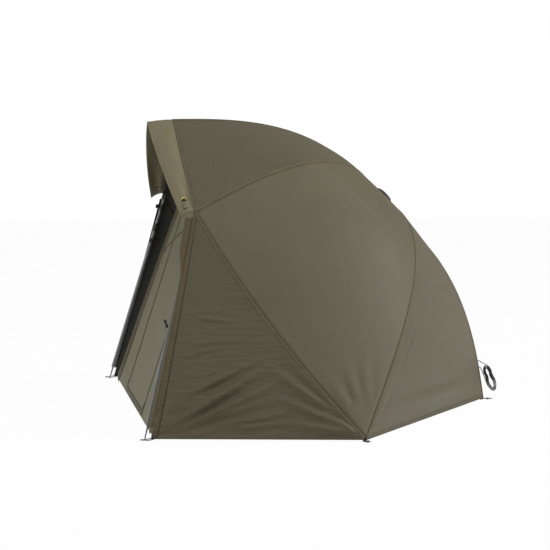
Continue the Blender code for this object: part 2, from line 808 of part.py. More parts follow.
def gore_grid(first, second, kind):
    """Points over the cloth between two ribs."""
    grid = []
    for a_share, b_share in zip(seam_rows(first), seam_rows(second)):
        width = (second.point(b_share * second.length) - first.point(a_share * first.length)).length
        near = seam_trim(first, a_share) / width
        far = seam_trim(second, b_share) / width
        row = []
        for column in range(GORE_COLUMNS + 1):
            share = near + (1 - near - far) * column / GORE_COLUMNS
            row.append(gore_point(first, second, kind, a_share, b_share, share)[0])
        grid.append(row)
    return grid


def share_where(point_at, reached):
    """The first share along a line at which its point passes a test."""
    low, high = 0.0, 1.0
    for _ in range(40):
        middle = (low + high) / 2
        if reached(point_at(middle)):
            high = middle
        else:
            low = middle
    return high


def seam_share(rib, height):
    """The share of a rib's seam at which it comes down to a height."""
    return share_where(lambda share: rib.point(share * rib.length), lambda point: point.z < height)


def wound(grid):
    """The grid, turned over if need be, so that its outer face looks away
    from a point inside the shelter."""
    a, b, c = grid[0][0], grid[0][-1], grid[-1][0]
    normal = (b - a).cross(c - a)
    if normal.dot(a - INSIDE) < 0:
        return [list(reversed(row)) for row in grid]
    return grid


def build_canopy(ribs):
    for side in ("left", "right"):
        front, flank = ribs["front_" + side], ribs["side_" + side]
        centre, back = ribs["front_centre"], ribs["back"]
        for name, first, second, kind, rider in (
                ("canopy_top_", centre, front, "brow", front),
                ("canopy_side_", front, flank, "shoulder", flank),
                ("canopy_rear_", flank, back, "ground", back)):
            grid = gore_grid(first, second, kind)
            cloth(name + side, wound(grid), "canopy", rider.pivot)


def build_side_panel(side, sign, ribs):
    """The flat triangle between the side gore's hem and the ground."""
    front, flank = ribs["front_" + side], ribs["side_" + side]
    foot = ground_point(sign * FRONT_HALF_WIDTH, 0, HEM_LIFT)
    shares = [column / PANEL_COLUMNS for column in range(PANEL_COLUMNS)] + [PANEL_END_SHARE]
    grid = []
    for row in range(PANEL_ROWS + 1):
        line = []
        for share in shares:
            upper = front.tip.lerp(flank.tip, share)
            upper += hem_shift("shoulder", share, front.tip, flank.tip)
            line.append(upper.lerp(foot.lerp(flank.tip, share), row / PANEL_ROWS))
        grid.append(line)
    grid[0] = [point + (below - point).normalized() * (2 * SEAM_GAP)
               for point, below in zip(grid[0], grid[1])]
    made = cloth("side_panel_" + side, wound(grid), "canopy", flank.pivot)
    graph = bpy.context.evaluated_depsgraph_get()
    made.data = bpy.data.meshes.new_from_object(made.evaluated_get(graph))
    made.modifiers.clear()
    made.location = Vector()
    made.data.transform(Matrix.Translation(flank.pivot))
    add_web(made, foot, -BACK, foot + (BACK + UP) * (WEB_REACH / 2))
    return finish(made, "side_panel_" + side, "canopy", flank.pivot)


def peak_point(ribs, across, share):
    """A point on the peak: how far across it, and how far ahead of the brow."""
    rib = ribs["front_left" if across > 0 else "front_right"]
    centre = ribs["front_centre"]
    beside = abs(across)
    start = centre.tip.lerp(rib.tip, beside) + hem_shift("brow", beside, centre.tip, rib.tip)
    reach = PEAK_SIDE_REACH + (PEAK_REACH - PEAK_SIDE_REACH) * (1 - beside ** PEAK_POWER)
    dip = PEAK_DIP * share * share * (1 + beside)
    return start - BACK * (SEAM_GAP + reach * share) - UP * dip


def build_peak(ribs):
    """The peak: a band of cloth ahead of the brow, widest in the middle."""
    columns = 2 * GORE_COLUMNS
    grid = [[peak_point(ribs, 2 * column / columns - 1, row / PEAK_ROWS)
             for column in range(columns + 1)]
            for row in range(PEAK_ROWS + 1)]
    return cloth("peak", wound(grid), "canopy", ribs["front_centre"].pivot)


def front_point(x, height):
    """A point on the leaning front face at a height above the ground."""
    span = FRONT_TOP_HEIGHT - FRONT_FOOT_HEIGHT
    rise = (min(height, FRONT_TOP_HEIGHT) - FRONT_FOOT_HEIGHT) / span
    setback = FRONT_FOOT_SETBACK + (FRONT_TOP_SETBACK - FRONT_FOOT_SETBACK) * rise
    return ground_point(x, setback, height)


def front_edge(height):
    """Half the width of the front face at a height."""
    if height < FRONT_KNEE_HEIGHT:
        rise = (height - FRONT_FOOT_HEIGHT) / (FRONT_KNEE_HEIGHT - FRONT_FOOT_HEIGHT)
        return FRONT_EDGE_FOOT + (FRONT_EDGE_KNEE - FRONT_EDGE_FOOT) * rise
    rise = (height - FRONT_KNEE_HEIGHT) / (FRONT_TOP_HEIGHT - FRONT_KNEE_HEIGHT)
    return FRONT_EDGE_KNEE + (FRONT_EDGE_TOP - FRONT_EDGE_KNEE) * rise


def build_front(ribs):
    """The front face: a panel on either side, one over the door, the door."""
    pivot = front_point(0, FRONT_FOOT_HEIGHT)
    door_top = FRONT_FOOT_HEIGHT + DOOR_HEIGHT
    levels = [FRONT_FOOT_HEIGHT + DOOR_HEIGHT * row / FRONT_ROWS for row in range(FRONT_ROWS + 1)]
    for side, sign in (("left", 1), ("right", -1)):
        grid = []
        for height in reversed(levels):
            inner = DOOR_HALF_WIDTH + DOOR_GAP
            outer = front_edge(height)
            grid.append([front_point(sign * (inner + (outer - inner) * step / FRONT_COLUMNS), height)
                         for step in range(FRONT_COLUMNS + 1)])
        cloth("front_panel_" + side, wound(grid), "front", HUB)
    heads = front_heads(ribs)
    foot_half = front_edge(door_top)
    grid = []
    for row in range(BROW_ROWS + 1):
        line = []
        for across, head in heads:
            foot = front_point(across * foot_half, door_top + DOOR_GAP)
            line.append(head.lerp(foot, row / BROW_ROWS))
        grid.append(line)
    cloth("front_panel_top", wound(grid), "front", HUB)
    grid = []
    for height in reversed(levels):
        grid.append([front_point(DOOR_HALF_WIDTH * (2 * step / DOOR_COLUMNS - 1), height)
                     for step in range(DOOR_COLUMNS + 1)])
    cloth("front_door", wound(grid), "front", pivot)


def front_heads(ribs):
    """Where the front face hangs: under the canopy, and under each rod that
    it crosses."""
    centre = ribs["front_centre"]
    face = front_point(0, FRONT_TOP_HEIGHT).y
    heads = []
    for column in range(2 * GORE_COLUMNS + 1):
        across = column / GORE_COLUMNS - 1
        rib = ribs["front_left" if across > 0 else "front_right"]

        def on_cloth(share):
            return gore_point(centre, rib, "brow", share, share, abs(across))

        share = share_where(lambda share: on_cloth(share)[0], lambda point: point.y < face)
        point, normal = on_cloth(share)
        sink = CLOTH + FRONT_HEAD_CLEAR
        if column % GORE_COLUMNS == 0:
            normal = (rib if across else centre).outward(share)
            sink = ROD_DEPTH + ROD_RADIUS + SEAM_GAP
        heads.append((across, point - normal * sink))
    return heads


def zip_way():
    """The direction up the front face."""
    return (front_point(0, FRONT_TOP_HEIGHT) - front_point(0, FRONT_FOOT_HEIGHT)).normalized()


def build_slider(side, sign):
    """A zip slider with its pull, at the foot of its row of teeth."""
    way = zip_way()
    face = way.cross(ACROSS)
    if face.y > 0:
        face = -face
    x = sign * (DOOR_HALF_WIDTH + SLIDER_INSET + SLIDER_WIDTH / 2)
    foot = front_point(x, FRONT_FOOT_HEIGHT) + way * SLIDER_START
    centre = foot + face * (SLIDER_STAND + SLIDER_THICKNESS / 2)
    size = (SLIDER_WIDTH, SLIDER_LENGTH, SLIDER_THICKNESS)
    made = block(centre, ACROSS, way, face, size)
    pull = centre + face * (SLIDER_THICKNESS / 2) - way * (PULL_LENGTH / 2)
    join(made, block(pull, ACROSS, way, face, (PULL_WIDTH, PULL_LENGTH, PULL_THICKNESS)))
    finish(made, "zip_slider_" + side, "pole", foot, smooth=False)


def pole_line(sign, ribs):
    """A storm pole's foot, its direction and its length up to the rib tip."""
    side = "left" if sign > 0 else "right"
    tip = ribs["front_" + side].tip
    foot = ground_point(sign * POLE_FOOT_HALF_WIDTH, POLE_FOOT_SETBACK, 0)
    top = tip + Vector((-sign * POLE_TOP_INSET, POLE_TOP_SETBACK, -POLE_TOP_RISE))
    way = (top - foot)
    return foot, way.normalized(), way.length


def build_pole(side, sign, ribs):
    """A storm pole: spiked lower tube, sliding upper tube, twist lock, and a
    head block with its thumb screw."""
    foot, way, length = pole_line(sign, ribs)
    start = foot + way * LOWER_START
    end = foot + way * (LOWER_END_SHARE * length)
    lower = bar(start, end, LOWER_RADIUS, POLE_SIDES)
    floor = start + way * LOWER_FLOOR
    cut(lower, bar(floor, end + way * OVERRUN, LOWER_RADIUS - LOWER_WALL, POLE_SIDES))
    join(lower, bar(foot - way * OVERRUN, start + way * OVERRUN, SPIKE_TIP, CAP_SIDES, SPIKE_RADIUS))
    cut(lower, below_ground(foot))
    finish(lower, "pole_lower_" + side, "pole", foot)

    top = foot + way * (length - TOP_SPIKE_LENGTH - TAB_THICKNESS)
    bottom = foot + way * (UPPER_START_SHARE * length)
    upper = bar(bottom, top, UPPER_RADIUS, POLE_SIDES)
    cut(upper, bar(bottom - way * OVERRUN, top - way * UPPER_CLOSED, UPPER_RADIUS - UPPER_WALL, POLE_SIDES))
    join(upper, bar(top - way * OVERRUN, top + way * TOP_SPIKE_LENGTH, TOP_SPIKE_RADIUS, CAP_SIDES))
    finish(upper, "pole_upper_" + side, "pole", end)

    lock_low = end - way * LOCK_OVERLAP
    lock_top = lock_low + way * LOCK_LENGTH
    lock = bar(lock_low, lock_top, LOCK_FOOT_RADIUS, POLE_SIDES, LOCK_RADIUS)
    lean = way.cross(ACROSS).normalized()
    for step in range(LOCK_RIBS):
        turn = Matrix.Rotation(2 * math.pi * step / LOCK_RIBS, 3, way)
        out = turn @ lean
        centre = (lock_low + lock_top) / 2 + out * LOCK_RIB_STAND
        size = (LOCK_RIB, LOCK_RIB, LOCK_RIB_LENGTH)
        join(lock, block(centre, out, way.cross(out), way, size))
    cut(lock, bar(lock_low - way * OVERRUN, end + way * GAP, LOWER_RADIUS + GAP, POLE_SIDES))
    cut(lock, bar(end, lock_top + way * OVERRUN, UPPER_RADIUS + GAP, POLE_SIDES))
    finish(lock, "pole_lock_" + side, "nylon", end)

    ahead = (-BACK - way * (-BACK).dot(way)).normalized()
    middle = top - way * HEAD_DROP
    half = way * (HEAD_LENGTH / 2)
    head = bar(middle - half, middle + half, HEAD_RADIUS, POLE_SIDES)
    join(head, bar(middle, middle + ahead * HEAD_BOSS_REACH, HEAD_BOSS, CAP_SIDES))
    cut(head, bar(middle - half - way * OVERRUN, middle + half + way * OVERRUN,
                  UPPER_RADIUS + GAP, POLE_SIDES))
    boss_end = middle + ahead * (HEAD_BOSS_REACH + OVERRUN)
    cut(head, bar(middle + ahead * UPPER_RADIUS, boss_end, KNOB_STEM + GAP, CAP_SIDES))
    finish(head, "pole_head_" + side, "nylon", middle)

    seat = middle + ahead * (HEAD_BOSS_REACH + GAP)
    knob = bar(seat, seat + ahead * KNOB_HEIGHT, KNOB_RADIUS, ROUND_SIDES)
    across = ahead.cross(way)
    for step in range(KNOB_SCALLOPS):
        turn = 2 * math.pi * step / KNOB_SCALLOPS
        out = way * math.cos(turn) + across * math.sin(turn)
        centre = seat + out * (KNOB_RADIUS + KNOB_SCALLOP_SET)
        cut(knob, bar(centre - ahead * OVERRUN, centre + ahead * (KNOB_HEIGHT + OVERRUN),
                      KNOB_SCALLOP, ROD_SIDES))
    join(knob, bar(seat - ahead * KNOB_STEM_LENGTH, seat + ahead * (KNOB_HEIGHT / 2),
                   KNOB_STEM, CAP_SIDES))
    finish(knob, "pole_knob_" + side, "nylon", seat)
    return foot, way, length, end, seat, ahead


def build_tab(side, sign, ribs):
    """The webbing tab that ties a shoulder to its pole, with an eye over the
    pole's top spike."""
    rib = ribs["front_" + side]
    foot, way, length = pole_line(sign, ribs)
    eye = foot + way * (length - TOP_SPIKE_LENGTH / 2)
    route = rod_route(rib)
    along = (route[-1] - route[-2]).normalized()
    cap_end = route[-1] + along * (GAP + CAP_END)
    reach = cap_end - eye
    side_way = way.cross(reach).normalized()
    thick = way * (TAB_THICKNESS / 2)
    made = bar(eye - thick, eye + thick, TAB_EYE_RADIUS, CAP_SIDES)
    size = (reach.length, TAB_WIDTH, TAB_THICKNESS)
    join(made, block(eye + reach / 2, reach, side_way, reach.cross(side_way), size))
    cut(made, bar(eye - way * TAB_EYE_RADIUS, eye + way * TAB_EYE_RADIUS,
                  TOP_SPIKE_RADIUS + GAP, CAP_SIDES))
    cut(made, bar(cap_end - along * CAP_LENGTH, cap_end + along * GAP, CAP_RADIUS + GAP, CAP_SIDES))
    return finish(made, "shoulder_tab_" + side, "webbing", rib.pivot, smooth=False)


def build_tag(side, ribs):
    """A webbing pull on the peak beside the shoulder, with a bright tip."""
    sign = 1 if side == "left" else -1
    rib = ribs["front_" + side]
    width = (rib.tip - ribs["front_centre"].tip).length
    across = sign * (1 - (TAG_START + TAG_LENGTH / 2) / width)
    share = TAG_AHEAD / PEAK_SIDE_REACH
    seat = peak_point(ribs, across, share)
    along = (peak_point(ribs, across - sign * TAG_LENGTH / width, share) - seat).normalized()
    ahead = (peak_point(ribs, across, share + TAG_WIDTH / PEAK_REACH) - seat).normalized()
    face = along.cross(ahead).normalized()
    if face.z < 0:
        face = -face
    ahead = face.cross(along)
    middle = seat + face * (TAG_CLEAR + TAG_THICKNESS / 2)
    made = block(middle, along, ahead, face, (TAG_LENGTH, TAG_WIDTH, TAG_THICKNESS))
    tip = middle + along * (TAG_LENGTH / 2)
    join(made, bar(tip - along * OVERRUN, tip + along * TAG_TIP, TAG_TIP_RADIUS, CAP_SIDES,
                   TAG_TIP_RADIUS / 2))
    return finish(made, "shoulder_tag_" + side, "tag", rib.pivot)


def hank_points(origin, outward):
    """The guy cord's route: out of the cloth, round the loops, and back.

    The loops lie in the upright plane through the back rib. They spiral in
    over one layer, step across, and spiral out over the other, and all are
    drawn in at the same waist."""
    down = (-UP * math.cos(HANK_LEAN) - outward * math.sin(HANK_LEAN)).normalized()
    wide = ACROSS.cross(down)
    if wide.dot(outward) < 0:
        wide = -wide
    loops = HANK_LOOPS_PER_LAYER * HANK_LAYERS
    total = loops * HANK_POINTS - HANK_POINTS // 4
    points = []
    for index in range(total + 1):
        turns = index / HANK_POINTS
        if turns <= HANK_LOOPS_PER_LAYER:
            ring = turns
        else:
            ring = loops - turns
        step = (turns - HANK_LOOPS_PER_LAYER) / HANK_CROSS_SHARE
        layer = min(0.5, max(-0.5, step)) * HANK_LAYER_PITCH
        shrink = ring * HANK_PITCH
        turn = 2 * math.pi * (turns - HANK_START_SHARE)
        along = math.sin(turn)
        spread = (along + HANK_WAIST_RISE_SHARE) / HANK_WAIST_SPREAD_SHARE
        waist = 1 - HANK_WAIST_SHARE * math.exp(-spread ** 2)
        half_width = HANK_HALF_WIDTH * waist - shrink
        length = (HANK_HALF_LENGTH - shrink) * along
        points.append(origin + down * length + wide * (half_width * math.cos(turn))
                      + ACROSS * layer)
    return points


def least_gap(points, radius, ends):
    """The least gap between stretches of a cord that are not neighbours."""
    least = HANK_HALF_LENGTH
    for i, a in enumerate(points):
        for j in range(i + ends, len(points) - 1):
            b, c = points[j], points[j + 1]
            line = c - b
            part = max(0.0, min(1.0, (a - b).dot(line) / line.length_squared))
            least = min(least, (b + line * part - a).length - 2 * radius)
    return least


def cord_exit(rib, beside, height):
    """Where the cord leaves the cloth beside the back seam, and which way."""
    share = seam_share(rib, height)
    place = rib.point(share * rib.length)
    width = (beside.point(share * beside.length) - place).length
    return gore_point(rib, beside, "ground", share, share, HANK_LAYER_PITCH / (2 * width))


def build_hank(ribs):
    rib = ribs["back"]
    leave, face = cord_exit(rib, ribs["side_right"], CORD_EXIT_HEIGHT)
    enter, low_face = cord_exit(rib, ribs["side_left"], CORD_RETURN_HEIGHT)
    near = rib.point(rib.length * seam_share(rib, HANK_HEIGHT))
    origin = near + BACK * (HANK_OUT + HANK_HALF_WIDTH)
    loops = hank_points(origin, BACK)
    first, last = loops[0], loops[-2]
    start = leave + face * CORD_EXIT_STAND
    finish_point = enter + low_face * CORD_EXIT_STAND
    lead_in = [start, start + face * (4 * CORD_RADIUS)]
    lead_in.append(lead_in[-1].lerp(first, LEAD_IN_SHARES[0]) + BACK * (2 * CORD_RADIUS))
    lead_in.append(lead_in[-2].lerp(first, LEAD_IN_SHARES[1]) + UP * (2 * CORD_RADIUS))
    lead_out = [finish_point, finish_point + low_face * (4 * CORD_RADIUS)]
    lead_out.append(lead_out[-1].lerp(last, LEAD_OUT_SHARE) + BACK * CORD_RADIUS)
    route = lead_in + loops[1:-1] + list(reversed(lead_out))
    print("hank least gap", round(least_gap(route, CORD_RADIUS, 4), 5),
          "length", round(sum((b - a).length for a, b in zip(route, route[1:])), 3))
    made = bent_bar(route, CORD_RADIUS, 6)
    return finish(made, "guy_hank", "cord", rib.pivot)


def say(label, pivot, way):
    print("PIVOT", label, [round(value, 5) for value in pivot], [round(value, 5) for value in way])


def main():
    clear_scene()
    make_materials()
    ribs = make_ribs()
    for rib in ribs.values():
        build_rib(rib)
        outer, along, length = build_stretcher(rib)
        print("rib", rib.name, "length", round(rib.length, 3),
              "bracket", round(rib.bracket, 4), "stretcher", round(length, 4),
              "swing", round(stretcher_swing(rib, outer, along, length), 3))
        say("rib_" + rib.name, rib.pivot, rib.hinge)
        say("stretcher_" + rib.name, outer, rib.hinge)
    outs = {"side_left": ACROSS, "side_right": -ACROSS, "back": BACK}
    for name, rib in ribs.items():
        build_cap(rib, outs.get(name))
    _, seat = build_hub(ribs)
    build_hub_cap()
    build_centre_tube(seat)
    catch = build_runner(ribs)
    say("runner_catch", catch, -LEAD)
    build_canopy(ribs)
    build_peak(ribs)
    build_front(ribs)
    for side, sign in (("left", 1), ("right", -1)):
        build_side_panel(side, sign, ribs)
        build_slider(side, sign)
        foot, way, _, end, seat_point, ahead = build_pole(side, sign, ribs)
        say("pole_upper_" + side, end, way)
        say("pole_knob_" + side, seat_point, ahead)
        build_tab(side, sign, ribs)
        build_tag(side, ribs)
        corner_foot = ground_point(sign * FRONT_HALF_WIDTH, 0, HEM_LIFT)
        build_ring("ring_front_" + side, corner_foot, -BACK)
        build_ring("ring_side_" + side, ribs["side_" + side].tip, outs["side_" + side])
    build_ring("ring_back", ribs["back"].tip, BACK)
    build_hank(ribs)
    say("door", front_point(0, FRONT_FOOT_HEIGHT), ACROSS)
    say("zip", front_point(0, FRONT_FOOT_HEIGHT), zip_way())


main()
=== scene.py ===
# %% [markdown]
# # A fishing umbrella shelter, dressed
#
# The shelter is an umbrella tilted back until its side and back ribs stand on the ground. Its frame,
# poles and hinges come from the CAD model, and this script makes what only looks can show: cloth that is
# stretched and wrinkled, seams, zips, webbing, cord, and the finish of every surface.
# All sizes are in metres. X runs across the shelter, the door faces -Y, and Z is up.

# %% Load the frame
import math

import bmesh
import bpy
import numpy as np
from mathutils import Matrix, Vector


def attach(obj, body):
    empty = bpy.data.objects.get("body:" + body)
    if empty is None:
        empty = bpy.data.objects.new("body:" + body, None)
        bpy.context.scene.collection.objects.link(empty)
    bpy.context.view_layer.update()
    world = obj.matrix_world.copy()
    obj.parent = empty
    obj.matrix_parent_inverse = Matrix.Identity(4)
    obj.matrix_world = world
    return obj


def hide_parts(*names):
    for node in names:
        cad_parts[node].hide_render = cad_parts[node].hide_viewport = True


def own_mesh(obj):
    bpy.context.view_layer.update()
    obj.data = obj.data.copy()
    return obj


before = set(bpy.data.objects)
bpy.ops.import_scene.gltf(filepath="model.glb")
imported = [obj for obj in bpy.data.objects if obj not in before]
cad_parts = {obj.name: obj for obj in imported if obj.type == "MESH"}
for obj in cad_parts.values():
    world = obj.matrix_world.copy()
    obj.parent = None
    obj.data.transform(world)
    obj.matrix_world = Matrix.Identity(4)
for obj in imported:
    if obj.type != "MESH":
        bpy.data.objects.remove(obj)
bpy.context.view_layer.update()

# %% [markdown]
# ## The camera
#
# The photograph was taken from far away with a long lens, almost square to the left side: parallel edges
# stay parallel, and the front face shows only as a sliver. A distance of twelve metres and a matching
# lens give the same flat perspective.

# %% Place the camera
AZIMUTH = math.radians(82)
ELEVATION = math.radians(5)
DISTANCE = 12.0
AIM = Vector((0, -0.168, 0.635))
LENS = 160.2

away = Vector((math.sin(AZIMUTH) * math.cos(ELEVATION),
               -math.cos(AZIMUTH) * math.cos(ELEVATION),
               math.sin(ELEVATION)))
camera = bpy.data.objects.new("camera", bpy.data.cameras.new("camera"))
bpy.context.collection.objects.link(camera)
camera.data.lens = LENS
camera.location = AIM + away * DISTANCE
camera.rotation_euler = (-away).to_track_quat("-Z", "Y").to_euler()
camera.data.clip_end = 4 * DISTANCE
bpy.context.scene.camera = camera
print("camera at", [round(value, 2) for value in camera.location])

# %% [markdown]
# ## Materials as arithmetic
#
# A material is a small calculation that runs at each point of a surface. Writing it node by node hides
# the thought, so one class wraps a value on its way through the nodes and lets it be added, multiplied
# and compared like a number, and one class holds a material and makes any other node it needs.

# %% A value inside a material
class Signal:
    """A value on its way through a material; arithmetic adds a node."""

    def __init__(self, finish, socket):
        self.finish = finish
        self.socket = socket

    def maths(self, operation, *others):
        values = dict(enumerate((self, *others)))
        return self.finish.node("ShaderNodeMath", {"operation": operation}, values)

    def __add__(self, other):
        return self.maths("ADD", other)

    def __sub__(self, other):
        return self.maths("SUBTRACT", other)

    def __rsub__(self, other):
        return self * -1 + other

    def __mul__(self, other):
        return self.maths("MULTIPLY", other)

    def __truediv__(self, other):
        return self.maths("DIVIDE", other)

    __radd__ = __add__

    def size(self):
        return self.maths("ABSOLUTE")

    def sine(self):
        return self.maths("SINE")

    def least(self, other):
        return self.maths("MINIMUM", other)

    def most(self, other):
        return self.maths("MAXIMUM", other)

    def wave(self, pitch):
        """A sine wave over the value, one turn for each pitch."""
        return (self * (2 * math.pi / pitch)).sine()

    def rise(self, start, end):
        """0 before start, 1 after end, and a smooth step between them."""
        return self.finish.node("ShaderNodeMapRange", {"interpolation_type": "SMOOTHSTEP"},
                                {"Value": self, "From Min": start, "From Max": end})


# %% A material
def tinted(colour, factor):
    """The colour, darkened or lightened by a factor."""
    return (*[part * factor for part in colour], 1)


class Finish:
    """A material with one Principled shader."""

    def __init__(self, name, colour, roughness, metallic=0.0, **fixed):
        self.material = bpy.data.materials.new(name)
        self.material.use_nodes = True
        self.tree = self.material.node_tree
        self.shader = self.tree.nodes["Principled BSDF"]
        self.colour = colour
        self.set("Base Color", (*colour, 1))
        self.set("Roughness", roughness)
        self.set("Metallic", metallic)
        for socket, value in fixed.items():
            self.set(socket.replace("_", " "), value)

    def node(self, kind, settings=None, inputs=None, output=0):
        made = self.tree.nodes.new(kind)
        for key, value in (settings or {}).items():
            setattr(made, key, value)
        for key, value in (inputs or {}).items():
            self.feed(made.inputs[key], value)
        return Signal(self, made.outputs[output])

    def feed(self, socket, value):
        if isinstance(value, Signal):
            self.tree.links.new(value.socket, socket)
        else:
            socket.default_value = value

    def set(self, name, value):
        self.feed(self.shader.inputs[name], value)

    def split(self, spot, count):
        return [self.node("ShaderNodeSeparateXYZ", {}, {0: spot}, output=axis) for axis in range(count)]

    def place(self):
        """Three signals: where the point lies, in metres, along X, Y and Z."""
        return self.split(self.node("ShaderNodeTexCoord", output="Object"), 3)

    def along_strip(self):
        """Two signals from the strip's own map: metres along it and across it."""
        return self.split(self.node("ShaderNodeUVMap", {"uv_map": "strip"}), 2)

    def noise(self, pitch, detail=3.0, rough=0.5, stretch=(1, 1, 1)):
        spot = self.node("ShaderNodeTexCoord", output="Object")
        spot = self.node("ShaderNodeMapping", {}, {"Vector": spot, "Scale": stretch})
        return self.node("ShaderNodeTexNoise", {},
                         {"Vector": spot, "Scale": 1 / pitch, "Detail": detail, "Roughness": rough})

    def blend(self, share, first, second):
        """A colour that goes from the first to the second as share goes from 0 to 1."""
        return self.node("ShaderNodeMix", {"data_type": "RGBA"},
                         {"Factor": share, 6: first, 7: second}, output=2)

    def shade(self, share, dark, light):
        """The base colour, darkened and lightened by factors."""
        self.set("Base Color", self.blend(share, tinted(self.colour, dark), tinted(self.colour, light)))

    def bump(self, height, depth):
        """Raise the surface by height times depth, in metres."""
        self.set("Normal", self.node("ShaderNodeBump", {}, {"Height": height, "Distance": depth}))


# %% [markdown]
# ## Finishes
#
# The cloth is coated nylon: a fine plain weave, almost matt, with a faint sheen, soft cloudy stains of
# colour where the coating is uneven, and small creases from being rolled up. Webbing is a coarse weave,
# moulded nylon has a fine spark-eroded grain, tube is drawn aluminium with a brushed look along its
# length, and the glass-fibre rods are smooth and dark.

# %% Cloth
WEAVE_PITCH = 0.0009
THREAD_DEPTH = 0.00012
STAIN_PITCH = 0.22
MOTTLE_PITCH = 0.018
STAIN_CONTRAST = 0.132
CREASE_PITCH = 0.055
CREASE_DEPTH = 0.0016
RIDGE_SHARE = 0.35
RIPPLE_PITCH = 0.020
RIPPLE_DEPTH = 0.0060
RIPPLE_STRETCH = (0.35, 0.16, 1.0)
SLACK_HEIGHTS = (0.15, 0.85)


def cloth_finish(name, colour, roughness, crease=1.0, ripple=0.25):
    """Cloth: a weave, stains, creases, and level ripples that are deepest low down."""
    made = Finish(name, colour, roughness, Sheen_Weight=0.03, Specular_IOR_Level=0.30)
    x, y, z = made.place()
    weave = (x + y).wave(WEAVE_PITCH) * z.wave(WEAVE_PITCH)
    stains = made.noise(STAIN_PITCH, 4.0, 0.55)
    mottle = made.noise(MOTTLE_PITCH, 2.0, 0.5)
    made.shade(stains * 0.75 + mottle * 0.25, 1 - STAIN_CONTRAST, 1 + STAIN_CONTRAST)
    made.set("Roughness", roughness - 0.08 + stains * 0.16)
    crumple = made.noise(CREASE_PITCH, 4.0, 0.6, (1.0, 1.0, 0.6))
    ridge = 1 - (crumple - 0.5).size() * 5
    height = weave * THREAD_DEPTH + ridge.most(0) * (CREASE_DEPTH * RIDGE_SHARE * crease)
    height = height + crumple * (CREASE_DEPTH * crease)
    level = made.noise(RIPPLE_PITCH, 3.0, 0.55, RIPPLE_STRETCH)
    slack = 1.15 - z.rise(*SLACK_HEIGHTS)
    made.bump(height + level * slack * (RIPPLE_DEPTH * ripple), 1.0)
    return made.material


canopy_cloth = cloth_finish("canopy_cloth", (0.119, 0.102, 0.060), 0.50)
side_cloth = cloth_finish("side_cloth", (0.114, 0.096, 0.055), 0.56, crease=1.3, ripple=1.25)
front_cloth = cloth_finish("front_cloth", (0.158, 0.146, 0.084), 0.60)

# %% Webbing and thread
WEB_PITCH = 0.0016
WEB_DEPTH = 0.0004
WEAR_PITCH = 0.03
STITCH_PITCH = 0.0042
STITCH_ROW = 0.0042
STITCH_WIDTH = 0.0007
THREAD_STAND = 0.0004
PUCKER_DEPTH = 0.0005
STITCH_SINK = 0.0003


def webbing_finish(name, colour):
    made = Finish(name, colour, 0.82, Sheen_Weight=0.2)
    x, y, z = made.place()
    rib = (x + z).wave(WEB_PITCH) * (y + z).wave(WEB_PITCH)
    wear = made.noise(WEAR_PITCH)
    made.shade(wear * 0.6 + rib * 0.2 + 0.1, 0.7, 1.35)
    made.bump(rib, WEB_DEPTH)
    return made.material


def seam_finish(name, colour, rows=(-STITCH_ROW, STITCH_ROW)):
    """Cloth folded over on itself, with rows of stitches along it."""
    made = Finish(name, colour, 0.62, Sheen_Weight=0.02, Specular_IOR_Level=0.25)
    along, across = made.along_strip()
    dash = along.wave(STITCH_PITCH).rise(-0.35, 0.15)
    stitches = None
    for row in rows:
        line = 1 - ((across - row).size() / STITCH_WIDTH).least(1)
        stitches = line if stitches is None else stitches.most(line)
    thread = stitches * dash
    pucker = (along * (2 * math.pi / (5 * STITCH_PITCH)) + made.noise(0.05) * 9).sine()
    cloth = made.blend(made.noise(0.12, 4.0), tinted(colour, 0.80), tinted(colour, 1.16))
    made.set("Base Color", made.blend(thread, cloth, tinted(colour, 0.45)))
    made.bump(thread * THREAD_STAND + pucker * PUCKER_DEPTH - stitches * STITCH_SINK, 1.0)
    return made.material


webbing = webbing_finish("webbing", (0.080, 0.071, 0.042))
black_webbing = webbing_finish("black_webbing", (0.020, 0.020, 0.019))
pull_webbing = webbing_finish("pull_webbing", (0.185, 0.163, 0.100))
seam_cloth = seam_finish("seam_cloth", (0.134, 0.112, 0.064))
hem_cloth = seam_finish("hem_cloth", (0.108, 0.097, 0.060), (-STITCH_ROW,))
front_seam = seam_finish("front_seam", (0.095, 0.087, 0.050))

# %% Moulded nylon, glass fibre and rubber
GRAIN_PITCH = 0.0011
GRAIN_DEPTH = 0.00012
SCUFF_PITCH = 0.02


def moulded_finish(name, colour, roughness):
    """A moulded surface: a fine grain, and paler where it is scuffed."""
    made = Finish(name, colour, roughness)
    grain = made.noise(GRAIN_PITCH, 2.0)
    scuffs = made.noise(SCUFF_PITCH, 5.0, 0.7)
    made.shade(scuffs.rise(0.35, 0.75), 0.85, 1.5)
    made.set("Roughness", roughness - 0.05 + scuffs * 0.14)
    made.bump(grain, GRAIN_DEPTH)
    return made.material


nylon = moulded_finish("nylon", (0.016, 0.016, 0.017), 0.46)
glass_fibre = moulded_finish("glass_fibre", (0.026, 0.026, 0.025), 0.34)
yellow_nylon = moulded_finish("yellow_nylon", (0.56, 0.43, 0.035), 0.5)

# %% Metals
DRAW_PITCH = 0.0016
DRAW_DEPTH = 0.00008
MARK_PITCH = 0.035


def tube_finish(name, colour, roughness, metallic=1.0):
    """Drawn tube: faint lines along its length, which runs mostly upwards."""
    made = Finish(name, colour, roughness, metallic)
    lines = made.noise(DRAW_PITCH, 3.0, 0.6, (1, 1, 0.03))
    marks = made.noise(MARK_PITCH, 5.0, 0.65)
    made.shade(lines * 0.5 + marks * 0.5, 0.72, 1.25)
    made.set("Roughness", roughness - 0.08 + lines * 0.16 + marks.rise(0.55, 0.8) * 0.1)
    made.bump(lines, DRAW_DEPTH)
    return made.material


